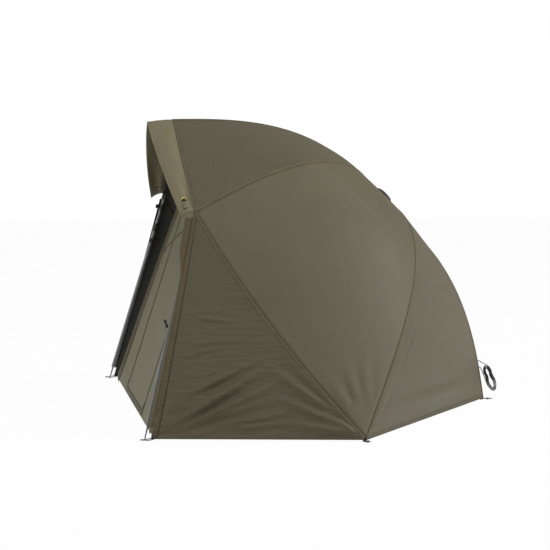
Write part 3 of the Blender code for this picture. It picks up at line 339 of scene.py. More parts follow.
pole_metal = tube_finish("pole_metal", (0.17, 0.175, 0.18), 0.46, 0.6)
ring_wire = tube_finish("ring_wire", (0.30, 0.30, 0.29), 0.34, 0.9)

# %% Cord
CORD_TURN = 0.006
STRAND_DEPTH = 0.0003


def cord_finish(name, colour):
    """Braided cord: two sets of strands that cross."""
    made = Finish(name, colour, 0.72, Sheen_Weight=0.2)
    along, across = made.along_strip()
    turns = along / CORD_TURN
    strands = (turns + across).wave(1) * (turns - across).wave(1)
    made.shade(strands * 0.35 + 0.5, 0.55, 2.0)
    made.bump(strands, STRAND_DEPTH)
    return made.material


cord_braid = cord_finish("cord_braid", (0.018, 0.019, 0.018))
print("materials:", len(bpy.data.materials))

# %% [markdown]
# ## The shelter's lines
#
# Everything soft hangs on six curved ribs, so the cloth is worked out from the same few sizes as the
# frame: where the hub sits, where each rib ends, and how a rod that is bent by hand takes up its curve,
# straight at the hub and tightest just beyond it.

# %% Sizes
APEX_HEIGHT = 1.398
APEX_SETBACK = 0.210
SHOULDER = (0.760, 0.233, 1.000)
SIDE_CORNER = (1.260, 0.945)
FRONT_HALF_WIDTH = 1.100
DEPTH = 1.760
HUB_SETBACK = 1.250
HUB_HEIGHT = 1.020
HUB_TILT = math.radians(45)
HEM_LIFT = 0.0075
RISE = math.radians(3.5)
STEEPEST_BEND = math.radians(150)
STRAIGHT_SHARES = {"front_centre": 0.22, "front": 0.20, "side": 0.12, "back": 0.29}
BEND_POWERS = {"front_centre": 1.9, "front": 1.9, "side": 2.6, "back": 1.7}
FULLNESS_SHARE = 0.035
HOLE_RADIUS = 0.025
ROD_DEPTH = 0.0115

AXIS = Vector((0, math.sin(HUB_TILT), math.cos(HUB_TILT)))
LEAD = Vector((0, -math.cos(HUB_TILT), math.sin(HUB_TILT)))
ACROSS = Vector((1, 0, 0))
BACK = Vector((0, 1, 0))
UP = Vector((0, 0, 1))
SIDES = (("left", 1), ("right", -1))


def ground_point(x, setback, height):
    return Vector((x, setback - DEPTH / 2, height))


HUB = ground_point(0, HUB_SETBACK, HUB_HEIGHT)

# %% A rib
class Rib:
    """A rib's seam: a curve in the plane through the hub's axis."""

    STEPS = 160

    def __init__(self, name, kind, tip):
        self.name, self.tip = name, tip
        self.body = name + "_rib"
        self.straight, self.power = STRAIGHT_SHARES[kind], BEND_POWERS[kind]
        reach = tip - HUB
        ahead, beside = reach.dot(LEAD), reach.dot(ACROSS)
        self.out = (LEAD * ahead + ACROSS * beside).normalized()
        self.hinge = AXIS.cross(self.out)
        span, drop = math.hypot(ahead, beside), -reach.dot(AXIS)
        low, high = 0.0, STEEPEST_BEND
        for _ in range(60):
            self.bend = (low + high) / 2
            x, y = self.trace(1.0)
            if math.atan2(y[-1], x[-1]) < math.atan2(drop, span):
                low = self.bend
            else:
                high = self.bend
        self.length = span / self.trace(1.0)[0][-1]
        self.x, self.y = self.trace(self.length)

    def slope(self, share):
        past = np.maximum(0.0, share - self.straight) / (1 - self.straight)
        return RISE + self.bend * (1 - (1 - past) ** self.power)

    def trace(self, scale):
        slopes = self.slope((np.arange(self.STEPS) + 0.5) / self.STEPS)
        step = scale / self.STEPS
        return (np.concatenate([[0], np.cumsum(np.cos(slopes) * step)]),
                np.concatenate([[0], np.cumsum(np.sin(slopes) * step)]))

    def points(self, shares, above=0.0):
        """Points at shares of the seam's length, raised or sunk square to it."""
        places = np.asarray(shares, float) * self.STEPS
        x = np.interp(places, np.arange(self.STEPS + 1), self.x)[..., None]
        y = np.interp(places, np.arange(self.STEPS + 1), self.y)[..., None]
        return np.array(HUB) + x * self.out - y * AXIS + self.outward(shares) * above

    def outward(self, shares):
        slopes = self.slope(np.asarray(shares, float))[..., None]
        return np.sin(slopes) * self.out + np.cos(slopes) * AXIS


def make_ribs():
    made = {
        "front_centre": Rib("front_centre", "front_centre", ground_point(0, APEX_SETBACK, APEX_HEIGHT)),
        "back": Rib("back", "back", ground_point(0, DEPTH, HEM_LIFT)),
    }
    for side, sign in SIDES:
        x, setback, height = SHOULDER
        made["front_" + side] = Rib("front_" + side, "front", ground_point(sign * x, setback, height))
        x, setback = SIDE_CORNER
        made["side_" + side] = Rib("side_" + side, "side", ground_point(sign * x, setback, HEM_LIFT))
    return made


ribs = make_ribs()
for rib in ribs.values():
    print(rib.name, "seam", round(rib.length, 3), "m")

# %% [markdown]
# ## Cloth, strips and webbing
#
# A stretched sheet is a grid of points over its outer face. A Solidify modifier gives it a second, inner
# face, which is painted near-black: painted shade for the dim inside of the shelter. Seams, hems and
# tapes are narrow grids that are laid on the sheets, a millimetre proud, and carry a map in metres so
# that their stitches keep one pitch everywhere.

# %% Sheets from grids
CLOTH = 0.0012
INSIDE = np.array(ground_point(0, 0.875, 0.41))


def unit(vectors):
    return vectors / np.linalg.norm(vectors, axis=-1, keepdims=True)


def clamp(values):
    return np.clip(values, 0, 1)


def lattice(down, across, rows, columns):
    """Even steps down a grid, as a column, and across it, as a row."""
    return np.linspace(*down, rows + 1)[:, None], np.linspace(*across, columns + 1)[None, :]


def grid_normals(grid):
    """The way a grid faces at each point, turned away from the shelter's inside."""
    down, across = np.gradient(grid, axis=0), np.gradient(grid, axis=1)
    normals = np.cross(down, across)
    normals = normals / np.maximum(np.linalg.norm(normals, axis=-1, keepdims=True), 1e-12)
    middle = (grid.shape[0] // 2, grid.shape[1] // 2)
    return normals * np.sign(normals[middle].dot(grid[middle] - INSIDE))


def run_along(points):
    """How far along a line each of its points lies."""
    return np.concatenate([[0], np.cumsum(np.linalg.norm(np.diff(points, axis=0), axis=-1))])


def add_piece(name, mesh, materials):
    """An object with smooth faces, made from a mesh."""
    for polygon in mesh.polygons:
        polygon.use_smooth = True
    for material in materials:
        mesh.materials.append(material)
    made = bpy.data.objects.new(name, mesh)
    bpy.context.collection.objects.link(made)
    return made


def lay_grid(name, grid, materials, thickness=CLOTH, offset=-1):
    """A sheet over a grid of points, facing away from the shelter's inside."""
    rows, columns = grid.shape[:2]
    middle = (rows // 2, columns // 2)
    turned = np.cross(grid[middle[0], middle[1]] - grid[middle[0] - 1, middle[1]],
                      grid[middle[0], middle[1]] - grid[middle[0], middle[1] - 1])
    flip = turned.dot(grid[middle] - INSIDE) < 0
    faces = []
    for row in range(rows - 1):
        for column in range(columns - 1):
            first = row * columns + column
            corners = (first, first + columns, first + columns + 1, first + 1)
            faces.append(tuple(reversed(corners)) if flip else corners)
    mesh = bpy.data.meshes.new(name)
    mesh.from_pydata([tuple(point) for point in grid.reshape(-1, 3)], [], faces)
    lengths = run_along(grid[:, columns // 2])
    widths = np.concatenate([np.zeros((rows, 1)),
                             np.cumsum(np.linalg.norm(np.diff(grid, axis=1), axis=-1), axis=1)], axis=1)
    widths = widths - widths[:, -1:] / 2
    strip = mesh.uv_layers.new(name="strip")
    for loop in mesh.loops:
        row, column = divmod(loop.vertex_index, columns)
        strip.data[loop.index].uv = (lengths[row], widths[row, column])
    made = add_piece(name, mesh, materials)
    wall = made.modifiers.new("thickness", "SOLIDIFY")
    wall.thickness = thickness
    wall.offset = offset
    if len(materials) > 1:
        wall.material_offset = 1
    return made


def area_of(grid):
    one = np.cross(grid[1:, :-1] - grid[:-1, :-1], grid[:-1, 1:] - grid[:-1, :-1])
    two = np.cross(grid[:-1, 1:] - grid[1:, 1:], grid[1:, :-1] - grid[1:, 1:])
    return float((np.linalg.norm(one, axis=-1) + np.linalg.norm(two, axis=-1)).sum() / 2)


# The inner faces of the sheets are near-black: painted shade for the dim inside of the shelter, with a
# faint mottle.
lining = Finish("lining", (0.020, 0.020, 0.015), 0.7)
lining.shade(lining.noise(0.08), 0.8, 1.3)
lining.bump(lining.noise(0.002, 2.0), 0.0003)
CANOPY_WITH_SHADE_INSIDE = [canopy_cloth, lining.material]

# %% [markdown]
# ## Wrinkles
#
# Cloth that is pegged at its corners is pulled into long folds that run out from each peg and die away.
# Each fold is a soft ridge along a line, and a fan of them leaves a corner. They are placed in a side
# view of the shelter, where they can be read off a photograph, and both sides share them.

# %% Folds
SIDE_VIEW_RIGHT = np.array((math.cos(AZIMUTH), math.sin(AZIMUTH), 0))
SIDE_VIEW_UP = np.array((-math.sin(AZIMUTH) * math.sin(ELEVATION),
                         math.cos(AZIMUTH) * math.sin(ELEVATION), math.cos(ELEVATION)))
FOLD_DEPTH = 2.9
TROUGH_PLACE = 1.7
TROUGH_WIDTH = 1.2
TROUGH_DEPTH = 0.45


def side_view(points):
    """How far along and how far up each point shows from the side; both sides alike."""
    near = np.array(points)
    near[..., 0] = np.abs(near[..., 0])
    return near @ SIDE_VIEW_RIGHT, near @ SIDE_VIEW_UP


class Fold:
    """A ridge along a line in the side view, which swells and dies away along it."""

    def __init__(self, start, end, width, depth, spread=0.6, peak=0.35):
        self.start, self.end = np.array(start), np.array(end)
        self.width, self.depth, self.spread, self.peak = width, depth, spread, peak

    def height(self, along, up):
        line = self.end - self.start
        length = math.hypot(*line)
        line = line / length
        part = ((along - self.start[0]) * line[0] + (up - self.start[1]) * line[1]) / length
        aside = (along - self.start[0]) * line[1] - (up - self.start[1]) * line[0]
        inside = clamp(part)
        fade = np.where(inside < self.peak, inside / self.peak, (1 - inside) / (1 - self.peak))
        fade = fade * fade * (3 - 2 * fade)
        width = self.width * (1 + self.spread * inside)
        ridge = np.exp(-(aside / width) ** 2)
        trough = np.exp(-((aside - TROUGH_PLACE * width) / (TROUGH_WIDTH * width)) ** 2) * TROUGH_DEPTH
        return FOLD_DEPTH * self.depth * fade * (ridge - trough)


def fan(corner, first, last, lengths, widths, depths, count, seed):
    """Folds that leave a corner between two directions, in degrees from level."""
    chance = np.random.default_rng(seed)
    folds = []
    for step in range(count):
        turn = math.radians(first + (last - first) * (step + 0.8 * chance.random()) / count)
        way = np.array((math.cos(turn), math.sin(turn)))
        length = chance.uniform(*lengths)
        start = np.array(corner) + way * length * chance.uniform(0.04, 0.2)
        folds.append(Fold(start, start + way * length, chance.uniform(*widths),
                          chance.uniform(*depths), 0.9, chance.uniform(0.2, 0.5)))
    return folds


def relief(points, folds):
    along, up = side_view(points)
    total = np.zeros(along.shape)
    for fold in folds:
        total += fold.height(along, up)
    return total


FOOT_CORNER = (-0.73, -0.09)
SIDE_CORNER_VIEW = (0.24, -0.09)
PANEL_FOLDS = [
    Fold((-0.66, -0.06), (-0.13, 0.26), 0.013, 0.0085),
    Fold((-0.64, -0.075), (-0.08, 0.18), 0.014, 0.0085),
    Fold((-0.58, 0.08), (-0.18, 0.28), 0.009, 0.0050),
    Fold((-0.50, -0.03), (-0.12, 0.10), 0.012, 0.0045),
    Fold((-0.46, -0.05), (-0.05, 0.03), 0.010, 0.0035),
    Fold((-0.44, -0.06), (-0.02, -0.02), 0.010, 0.0030),
    Fold((-0.60, 0.25), (-0.36, 0.33), 0.007, 0.0018),
    Fold((-0.56, 0.32), (-0.26, 0.34), 0.007, 0.0018),
    Fold((-0.54, 0.44), (-0.34, 0.42), 0.006, 0.0015),
] + fan(FOOT_CORNER, 18, 62, (0.12, 0.34), (0.005, 0.009), (0.0015, 0.0032), 9, 3) \
  + fan(SIDE_CORNER_VIEW, 132, 174, (0.25, 0.55), (0.008, 0.013), (0.0020, 0.0045), 8, 5)
GORE_FOLDS = [
    Fold((0.23, -0.03), (0.15, 0.27), 0.010, 0.0040),
    Fold((0.21, -0.02), (0.06, 0.20), 0.011, 0.0045),
    Fold((0.25, 0.00), (0.24, 0.34), 0.009, 0.0030),
    Fold((-0.595, 0.965), (-0.52, 0.82), 0.008, 0.0040),
    Fold((-0.600, 0.960), (-0.56, 0.86), 0.006, 0.0034),
    Fold((-0.595, 0.970), (-0.47, 0.90), 0.007, 0.0030),
]
REAR_FOLDS = [
    Fold((0.385, 0.20), (0.49, 0.43), 0.007, 0.0026, 0.3, 0.5),
    Fold((0.42, 0.22), (0.51, 0.40), 0.006, 0.0022, 0.3, 0.5),
    Fold((0.36, 0.14), (0.43, 0.30), 0.007, 0.0020, 0.3, 0.5),
    Fold((0.80, 0.10), (0.30, 0.02), 0.020, 0.0060, 0.2, 0.3),
    Fold((0.26, -0.05), (0.38, 0.20), 0.010, 0.0035),
]
print("folds:", len(PANEL_FOLDS) + len(GORE_FOLDS) + len(REAR_FOLDS))

# %% [markdown]
# ## The canopy
#
# A canopy is cut in gores, which are sewn together over the ribs. Each gore is one continuous curved
# sheet between two ribs, a little full in the middle. It is made directly from the ribs' curves and not
# by simulation: a gore in tension takes the shape its cut and its ribs give it, and that is known here.

# %% A gore and a side panel as surfaces
HEM_BOW = 0.040
HEM_SWELL = 0.012
SEAM_FADE = 0.02
GROUND_FADE = 0.02
SHOULDER_FADE = 0.03
FRONT_EDGE_FADE = 0.03


def lie_between(values, a, b):
    return a + (b - a) * values[..., None]


def hem_line(kind, first, second, across):
    """The line of a gore's lower edge between its corners."""
    line = lie_between(across, np.array(first.tip), np.array(second.tip))
    if kind == "shoulder":
        foot = ground_point(math.copysign(FRONT_HALF_WIDTH, first.tip.x + second.tip.x), 0, HEM_LIFT)
        away = (foot - (first.tip + second.tip) / 2).normalized()
        return line + np.array(away) * (HEM_BOW * 4 * across * (1 - across))[..., None]
    if kind == "brow":
        return line + np.array(UP - BACK * 0.3) * (HEM_SWELL * 4 * across * (1 - across))[..., None]
    return line


class Gore:
    """The cloth between two ribs, as a surface."""

    def __init__(self, name, first, second, kind, body, folds):
        self.name, self.first, self.second, self.kind = name, first, second, kind
        self.body, self.folds = body, folds

    def at(self, down, across):
        """Points at shares of the way down the seams and across between them."""
        down, across = np.broadcast_arrays(np.asarray(down, float), np.asarray(across, float))
        a, b = self.first.points(down), self.second.points(down)
        facing = unit(self.first.outward(down) + self.second.outward(down))
        swing = 4 * across * (1 - across)
        width = np.linalg.norm(b - a, axis=-1)
        full = FULLNESS_SHARE * width * swing * 4 * down * (1 - down)
        straight = lie_between(across, np.array(self.first.tip), np.array(self.second.tip))
        bow = (hem_line(self.kind, self.first, self.second, across) - straight) * down[..., None] ** 3
        points = a + (b - a) * across[..., None] + facing * full[..., None] + bow
        edge = clamp(across * (1 - across) * width / SEAM_FADE)
        return points + facing * (relief(points, self.folds) * edge)[..., None]

    def width(self, down):
        return np.linalg.norm(self.second.points(down) - self.first.points(down), axis=-1)


class SidePanel:
    """The triangle between the side gore's hem and the ground."""

    def __init__(self, side, sign):
        self.sign = sign
        self.front, self.flank = ribs["front_" + side], ribs["side_" + side]
        self.foot = ground_point(sign * FRONT_HALF_WIDTH, 0, HEM_LIFT)

    def ends(self, across):
        upper = hem_line("shoulder", self.front, self.flank, across)
        lower = lie_between(across, np.array(self.foot), np.array(self.flank.tip))
        return upper, lower

    def at(self, across, down):
        across, down = np.broadcast_arrays(np.asarray(across, float), np.asarray(down, float))
        upper, lower = self.ends(across)
        points = upper + (lower - upper) * down[..., None]
        height = np.linalg.norm(lower - upper, axis=-1)
        facing = np.array(self.facing())
        edge = clamp(down * height / SHOULDER_FADE)
        edge = edge * clamp((1 - down) * height / GROUND_FADE) * clamp(across / FRONT_EDGE_FADE)
        return points + facing * (relief(points, PANEL_FOLDS) * edge)[..., None]

    def facing(self):
        normal = (self.flank.tip - self.foot).cross(self.front.tip - self.foot).normalized()
        return normal if normal.x * self.sign > 0 else -normal


def make_gores():
    """Three gores a side; each names the rib whose body carries it."""
    made = {}
    centre, back = ribs["front_centre"], ribs["back"]
    for side, sign in SIDES:
        front, flank = ribs["front_" + side], ribs["side_" + side]
        for part, first, second, kind, body, folds in (
                ("top", centre, front, "brow", front, []),
                ("side", front, flank, "shoulder", flank, GORE_FOLDS),
                ("rear", flank, back, "ground", back, REAR_FOLDS)):
            name = "canopy_" + part + "_" + side
            made[name] = Gore(name, first, second, kind, body, folds)
    return made


gores = make_gores()
panels = {side: SidePanel(side, sign) for side, sign in SIDES}

# %% Sew the gores and the side panels
GORE_ROWS = 64
GORE_COLUMNS = 44
PANEL_ROWS = 130
PANEL_COLUMNS = 170
SEAM_TRIM = 0.0014


def follow_rib(piece, rib):
    """The piece rides on a rib."""
    middle = tuple(rib.points([0.5])[0])
    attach(piece, rib.body)
    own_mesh(piece)


for gore in gores.values():
    down, share = lattice((HOLE_RADIUS / gore.first.length, 1), (0, 1), GORE_ROWS, GORE_COLUMNS)
    trim = SEAM_TRIM / gore.width(down)
    across = trim + (1 - 2 * trim) * share
    grid = gore.at(down, across)
    piece = lay_grid(gore.name + "_cloth", grid, CANOPY_WITH_SHADE_INSIDE)
    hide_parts(gore.name)
    follow_rib(piece, gore.body)
    wide, long = float(gore.width(np.array([1.0]))[0]), max(gore.first.length, gore.second.length)
    area = area_of(grid)
    print(gore.name, "flat", round(wide, 2), "x", round(long, 2), "m, area", round(area, 2))

for side, panel in panels.items():
    across = np.linspace(0, 1, PANEL_COLUMNS + 1) ** 0.92 * 0.992
    down = np.linspace(0.004, 1, PANEL_ROWS + 1)
    grid = panel.at(across[:, None], down[None, :])
    piece = lay_grid("side_panel_" + side + "_cloth", grid, [side_cloth, lining.material])
    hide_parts("side_panel_" + side)
    follow_rib(piece, panel.flank)
    area = area_of(grid)
    print("side panel", side, "area", round(area, 2))

# %% [markdown]
# ## Seams and hems
#
# A felled seam is both edges of cloth folded together and stitched twice: a flat band that stands a
# little proud and catches the light. Each band is laid on the cloth on either side of its line, so it
# follows every bend. A hem is the same band with one edge at the cloth's edge.

# %% Bands along the ribs
BAND_LIFT = 0.0011
BAND = 0.0011
SEAM_HALF_WIDTH = 0.0085
SEAM_CROWN = 0.0012
CAP_MARGIN = 0.012
THIN_CROWN = 0.0008


def lifted(grid, lift, crown=0.0):
    """The grid raised off the cloth, a little more along its middle."""
    columns = grid.shape[1]
    across = np.linspace(-1, 1, columns)[None, :, None]
    return grid + grid_normals(grid) * (lift + crown * (1 - across ** 2))


def rib_band(rib, one, other, half_width, rows=110, columns=8):
    """Points over a seam: the near half lies on one gore and the far half on the other."""
    start = (HOLE_RADIUS + CAP_MARGIN) / rib.length
    down, across = lattice((start, 1), (-1, 1), rows, columns)
    halves = []
    for gore, part in ((one, -across), (other, across)):
        share = np.maximum(part, 0) * half_width / gore.width(down)
        if gore.second is rib:
            share = 1 - share
        halves.append(gore.at(down, share))
    return np.where((across < 0)[..., None], *halves)


def gores_beside(rib):
    return [gore for gore in gores.values() if rib in (gore.first, gore.second)]


for rib in ribs.values():
    one, other = gores_beside(rib)
    grid = lifted(rib_band(rib, one, other, SEAM_HALF_WIDTH), BAND_LIFT, SEAM_CROWN)
    piece = lay_grid("seam_" + rib.name, grid, [seam_cloth], BAND)
    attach(piece, rib.body)

# %% [markdown]
# The seam between the side gore and the side panel isn't over a rib: it is a tight line from the
# shoulder to the side corner, with a cord of webbing folded in. The ground edges have broad hems.

# %% Bands along the hems
HEM_BAND = 0.022
BROW_BAND = 0.012
SHOULDER_BAND_HALF = 0.005


def shoulder_band(side, half_width, rows=90, columns=8):
    panel, gore = panels[side], gores["canopy_side_" + side]
    along, across = lattice((0, 0.990), (-1, 1), rows, columns)
    upper, lower = panel.ends(along)
    height = np.maximum(np.linalg.norm(lower - upper, axis=-1), 0.02)
    reach = (gore.first.length + gore.second.length) / 2
    on_gore = gore.at(1 - np.maximum(-across, 0) * half_width / reach, along)
    on_panel = panel.at(along, np.maximum(across, 0) * half_width / height)
    return np.where((across < 0)[..., None], on_gore, on_panel)


def panel_hem(side, width, rows=90, columns=6):
    panel = panels[side]
    along, across = lattice((0, 0.985), (0, 1), rows, columns)
    upper, lower = panel.ends(along)
    height = np.maximum(np.linalg.norm(lower - upper, axis=-1), width)
    return panel.at(along, 1 - across * width / height)


def gore_hem(gore, width, rows=80, columns=6):
    along, across = lattice((0.004, 0.996), (0, 1), rows, columns)
    reach = gore.first.length + (gore.second.length - gore.first.length) * along
    return gore.at(1 - across * width / reach, along)


for side, sign in SIDES:
    rear, top = gores["canopy_rear_" + side], gores["canopy_top_" + side]
    flank, front = ribs["side_" + side], ribs["front_" + side]
    for name, grid, cloth, rib in (
            ("shoulder_seam_", shoulder_band(side, SHOULDER_BAND_HALF), seam_cloth, flank),
            ("side_hem_", panel_hem(side, HEM_BAND), hem_cloth, flank),
            ("rear_hem_", gore_hem(rear, HEM_BAND), hem_cloth, ribs["back"]),
            ("brow_hem_", gore_hem(top, BROW_BAND), seam_cloth, front)):
        piece = lay_grid(name + side, lifted(grid, BAND_LIFT), [cloth], BAND)
        follow_rib(piece, rib)

# %% [markdown]
# The side panel's front edge carries a broad folded band over the storm pole. A ridged tape gives it
# body, and beside it runs the dark line of a zip that joins the front to the side.

# %% The front band of the side panels
EDGE_BAND = 0.026
EDGE_BAND_INSET = 0.001
EDGE_BAND_LIFT = 0.0014
EDGE_BAND_CROWN = 0.0016
EDGE_ZIP_GAP = 0.0015
EDGE_ZIP_WIDTH = 0.0050
EDGE_ZIP_LIFT = 0.0010
EDGE_ZIP_PITCH = 0.0022


def edge_band(side, start, width, rows=80, columns=10):
    """A band up the side panel's front edge; start is its distance from that edge."""
    panel = panels[side]
    down, across = lattice((0.01, 0.997), (0, 1), rows, columns)
    far = panel.at(np.array([[0.5]]), down)
    near = panel.at(np.array([[0.0]]), down)
    reach = np.linalg.norm(far - near, axis=-1) * 2
    taper = clamp(down * 8)
    return panel.at((start + across * width * taper) / reach, down)


band_tape = seam_finish("band_tape", (0.112, 0.091, 0.050), (-0.010, 0.010))
zip_line = Finish("zip_line", (0.040, 0.034, 0.020), 0.6)
along, across = zip_line.along_strip()
teeth = along.wave(EDGE_ZIP_PITCH)
zip_line.shade(teeth * 0.5 + 0.5, 0.6, 2.2)
zip_line.bump(teeth, 0.0005)

for side, sign in SIDES:
    flank = ribs["side_" + side]
    over_pole = edge_band(side, EDGE_BAND_INSET, EDGE_BAND)
    beside_it = edge_band(side, EDGE_BAND + EDGE_ZIP_GAP, EDGE_ZIP_WIDTH, columns=4)
    for name, grid, lift, crown, material in (
            ("edge_band_", over_pole, EDGE_BAND_LIFT, EDGE_BAND_CROWN, band_tape),
            ("edge_zip_", beside_it, EDGE_ZIP_LIFT, EDGE_ZIP_LIFT, zip_line.material)):
        piece = lay_grid(name + side, lifted(grid, lift, crown), [material], BAND)
        follow_rib(piece, flank)

# %% [markdown]
# ## The peak
#
# Ahead of the brow the cloth runs on as a short cantilevered peak, stiffened by its bound edge. Two long
# soft folds run along it towards each shoulder.

# %% Sew the peak
PEAK_REACH = 0.122
PEAK_SIDE_REACH = 0.060
PEAK_ROWS = 16
PEAK_COLUMNS = 96
PEAK_GAP = 0.0008
PEAK_DIP = 0.012
PEAK_FOLD = 0.0055
PEAK_RIPPLE = 0.0026
BINDING_START = 0.90


def peak_at(across, ahead):
    """Points on the peak: how far across it, and how far ahead of the brow."""
    across, ahead = np.broadcast_arrays(across, ahead)
    beside = np.abs(across)
    centre = ribs["front_centre"]
    lines = [hem_line("brow", centre, ribs["front_" + side], beside) for side, sign in SIDES]
    start = np.where((across > 0)[..., None], *lines)
    reach = PEAK_SIDE_REACH + (PEAK_REACH - PEAK_SIDE_REACH) * (1 - beside ** 1.5)
    dip = PEAK_DIP * ahead ** 2 * (1 + beside)
    ripple = PEAK_FOLD * np.sin(ahead * 5.2 - beside * 2.4 + 0.4) * clamp(beside * 3)
    ripple = ripple + PEAK_RIPPLE * np.sin(ahead * 9 + beside * 11) * beside
    ripple = ripple * clamp(ahead * 5) * clamp((1 - beside) * 14)
    move = reach * ahead + PEAK_GAP
    return start - move[..., None] * BACK - (dip - ripple)[..., None] * UP


def centre_fold(piece):
    """The piece rides on the front centre rib."""
    rib = ribs["front_centre"]
    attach(piece, rib.body)
    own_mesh(piece)


ahead, across = lattice((0, 1), (-1, 1), PEAK_ROWS, PEAK_COLUMNS)
grid = peak_at(across, ahead)
# The peak is the canopy's cloth painted lighter, as a painted highlight for the light the peak catches;
# its binding is painted lighter in the same way.
peak = lay_grid("peak_cloth", grid, [cloth_finish("peak_cloth", (0.205, 0.180, 0.108), 0.60)])
peak_binding_cloth = seam_finish("peak_binding_cloth", (0.205, 0.178, 0.104), (-STITCH_ROW,))
bound = peak_at(across, np.linspace(BINDING_START, 1.0, 7)[:, None])
binding = lay_grid("peak_binding", lifted(bound, BAND_LIFT, THIN_CROWN), [peak_binding_cloth], BAND)
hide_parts("peak")
for piece in (peak, binding):
    centre_fold(piece)
round(area_of(grid), 3)
print("peak area", round(area_of(grid), 3))

# %% [markdown]
# ## The front
#
# The front face hangs behind the storm poles and leans back with them. It is greener and smoother than
# the canopy. The door is the middle of it, and zips close it on either side.

# %% The leaning face
FRONT_FOOT = (0.012, 0.012)
FRONT_TOP = (1.010, 0.330)
KNEE = 0.700
EDGE_WIDTHS = (1.030, 0.835, 0.690)
DOOR_HALF_WIDTH = 0.440
DOOR_TOP = 0.997
DOOR_GAP = 0.0005
PANEL_GAP = 0.0012
FRONT_SAG = 0.002
RELIEF_FADE = 0.06
FRONT_ROWS = 70
DOOR_COLUMNS = 48
FRONT_PANEL_COLUMNS = 24
FRONT_PIVOT = ground_point(0, FRONT_FOOT[1], FRONT_FOOT[0])
FRONT_WAY = (ground_point(0, FRONT_TOP[1], FRONT_TOP[0]) - FRONT_PIVOT).normalized()
FRONT_FACE = np.array(FRONT_WAY.cross(ACROSS).normalized())
FRONT_FACE = FRONT_FACE * -np.sign(FRONT_FACE[1])


def front_at(x, height, out=0.0):
    """Points on the leaning front face, raised off it by out."""
    x, height, out = np.broadcast_arrays(np.asarray(x, float), np.asarray(height, float), out)
    setback = np.interp(height, (FRONT_FOOT[0], FRONT_TOP[0]), (FRONT_FOOT[1], FRONT_TOP[1]))
    flat = np.stack([x, setback - DEPTH / 2, height], axis=-1)
    return flat + FRONT_FACE * out[..., None]


def front_edge(height):
    return np.interp(height, (FRONT_FOOT[0], KNEE, FRONT_TOP[0]), EDGE_WIDTHS)


def front_relief(x, height):
    """Slack folds across the front: two or three long shallow ones, and a ripple."""
    slant = height - 0.35 * x
    soft = np.sin(slant * 7.3 + 0.8) * 0.5 + np.sin(slant * 13 + x * 3 + 2.0) * 0.25
    fade = clamp((height - FRONT_FOOT[0]) / RELIEF_FADE) * clamp((DOOR_TOP - height) / RELIEF_FADE)
    return FRONT_SAG * soft * fade


def front_fold(piece, body):
    """The piece rides on the given body."""
    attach(piece, body)
    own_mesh(piece)


heights, spread = lattice((DOOR_TOP, FRONT_FOOT[0]), (-1, 1), FRONT_ROWS, DOOR_COLUMNS)
x = spread * (DOOR_HALF_WIDTH - DOOR_GAP)
edge = clamp((1 - np.abs(spread)) * 8)
grid = front_at(x, heights, front_relief(x, heights) * edge)
door = lay_grid("front_door_cloth", grid, [front_cloth, lining.material])
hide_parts("front_door")
front_fold(door, "door")
round(area_of(grid), 3)
print("door area", round(area_of(grid), 3))

for side, sign in SIDES:
    spread = np.linspace(0, 1, FRONT_PANEL_COLUMNS + 1)[None, :]
    inner = DOOR_HALF_WIDTH + PANEL_GAP
    x = sign * (inner + (front_edge(heights) - inner) * spread)
    edge = clamp(spread * 6) * clamp((1 - spread) * 6)
    grid = front_at(x, heights, front_relief(x, heights) * edge)
    piece = lay_grid("front_panel_" + side + "_cloth", grid, [front_cloth, lining.material])
    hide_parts("front_panel_" + side)
    front_fold(piece, "hub")
    round(area_of(grid), 3)

# %% [markdown]
# Over the door the face closes the space up to the canopy's underside. Its upper edge follows the cloth,
# and it is hung from the front centre rib.

# %% The panel over the door
CLOTH_GAP = 0.0047
ROD_GAP = 0.0125
BROW_COLUMNS = 72
BROW_ROWS = 24


def last_share(holds):
    """The share down a rib up to which something holds, found by halving."""
    low, high = 0.0, 1.0
    for _ in range(40):
        middle = (low + high) / 2
        if holds(middle):
            low = middle
        else:
            high = middle
    return high


def share_at_face(first, second, across, face):
    """The share down the top gore at which it passes over the front face."""

    def behind(share):
        a, b = first.points([share])[0], second.points([share])[0]
        return (a + (b - a) * across)[1] >= face

    return last_share(behind)


def head_line(columns):
    """Where the panel hangs: under the cloth, and lower where it crosses a rod."""
    face = FRONT_TOP[1] - DEPTH / 2
    line = []
    for across in np.linspace(-1, 1, columns + 1):
        gore = gores["canopy_top_left" if across > 0 else "canopy_top_right"]
        share = share_at_face(gore.first, gore.second, abs(across), face)
        point = gore.at(np.array([share]), np.array([abs(across)]))[0]
        outward = unit(gore.first.outward([share]) * (1 - abs(across))
                       + gore.second.outward([share]) * abs(across))[0]
        near_rod = max(0.0, 1 - min(abs(across), 1 - abs(across)) * 9)
        line.append(point - outward * (CLOTH_GAP + ROD_GAP * near_rod))
    return np.array(line)


heads = head_line(BROW_COLUMNS)
spread = np.linspace(-1, 1, BROW_COLUMNS + 1)
feet = front_at(spread * float(front_edge(DOOR_TOP)), DOOR_TOP + PANEL_GAP)
drop = np.linspace(0, 1, BROW_ROWS + 1)[:, None, None]
grid = heads[None] + (feet - heads)[None] * drop
brow = lay_grid("front_panel_top_cloth", grid, [front_cloth, lining.material])
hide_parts("front_panel_top")
centre_fold(brow)
round(area_of(grid), 3)

# %% [markdown]
# Zips run up both sides of the door: a tape with a coil of teeth along its middle. A brown margin and a
# curved seam stiffen the outer panels, and a small toggle holds the rolled door.

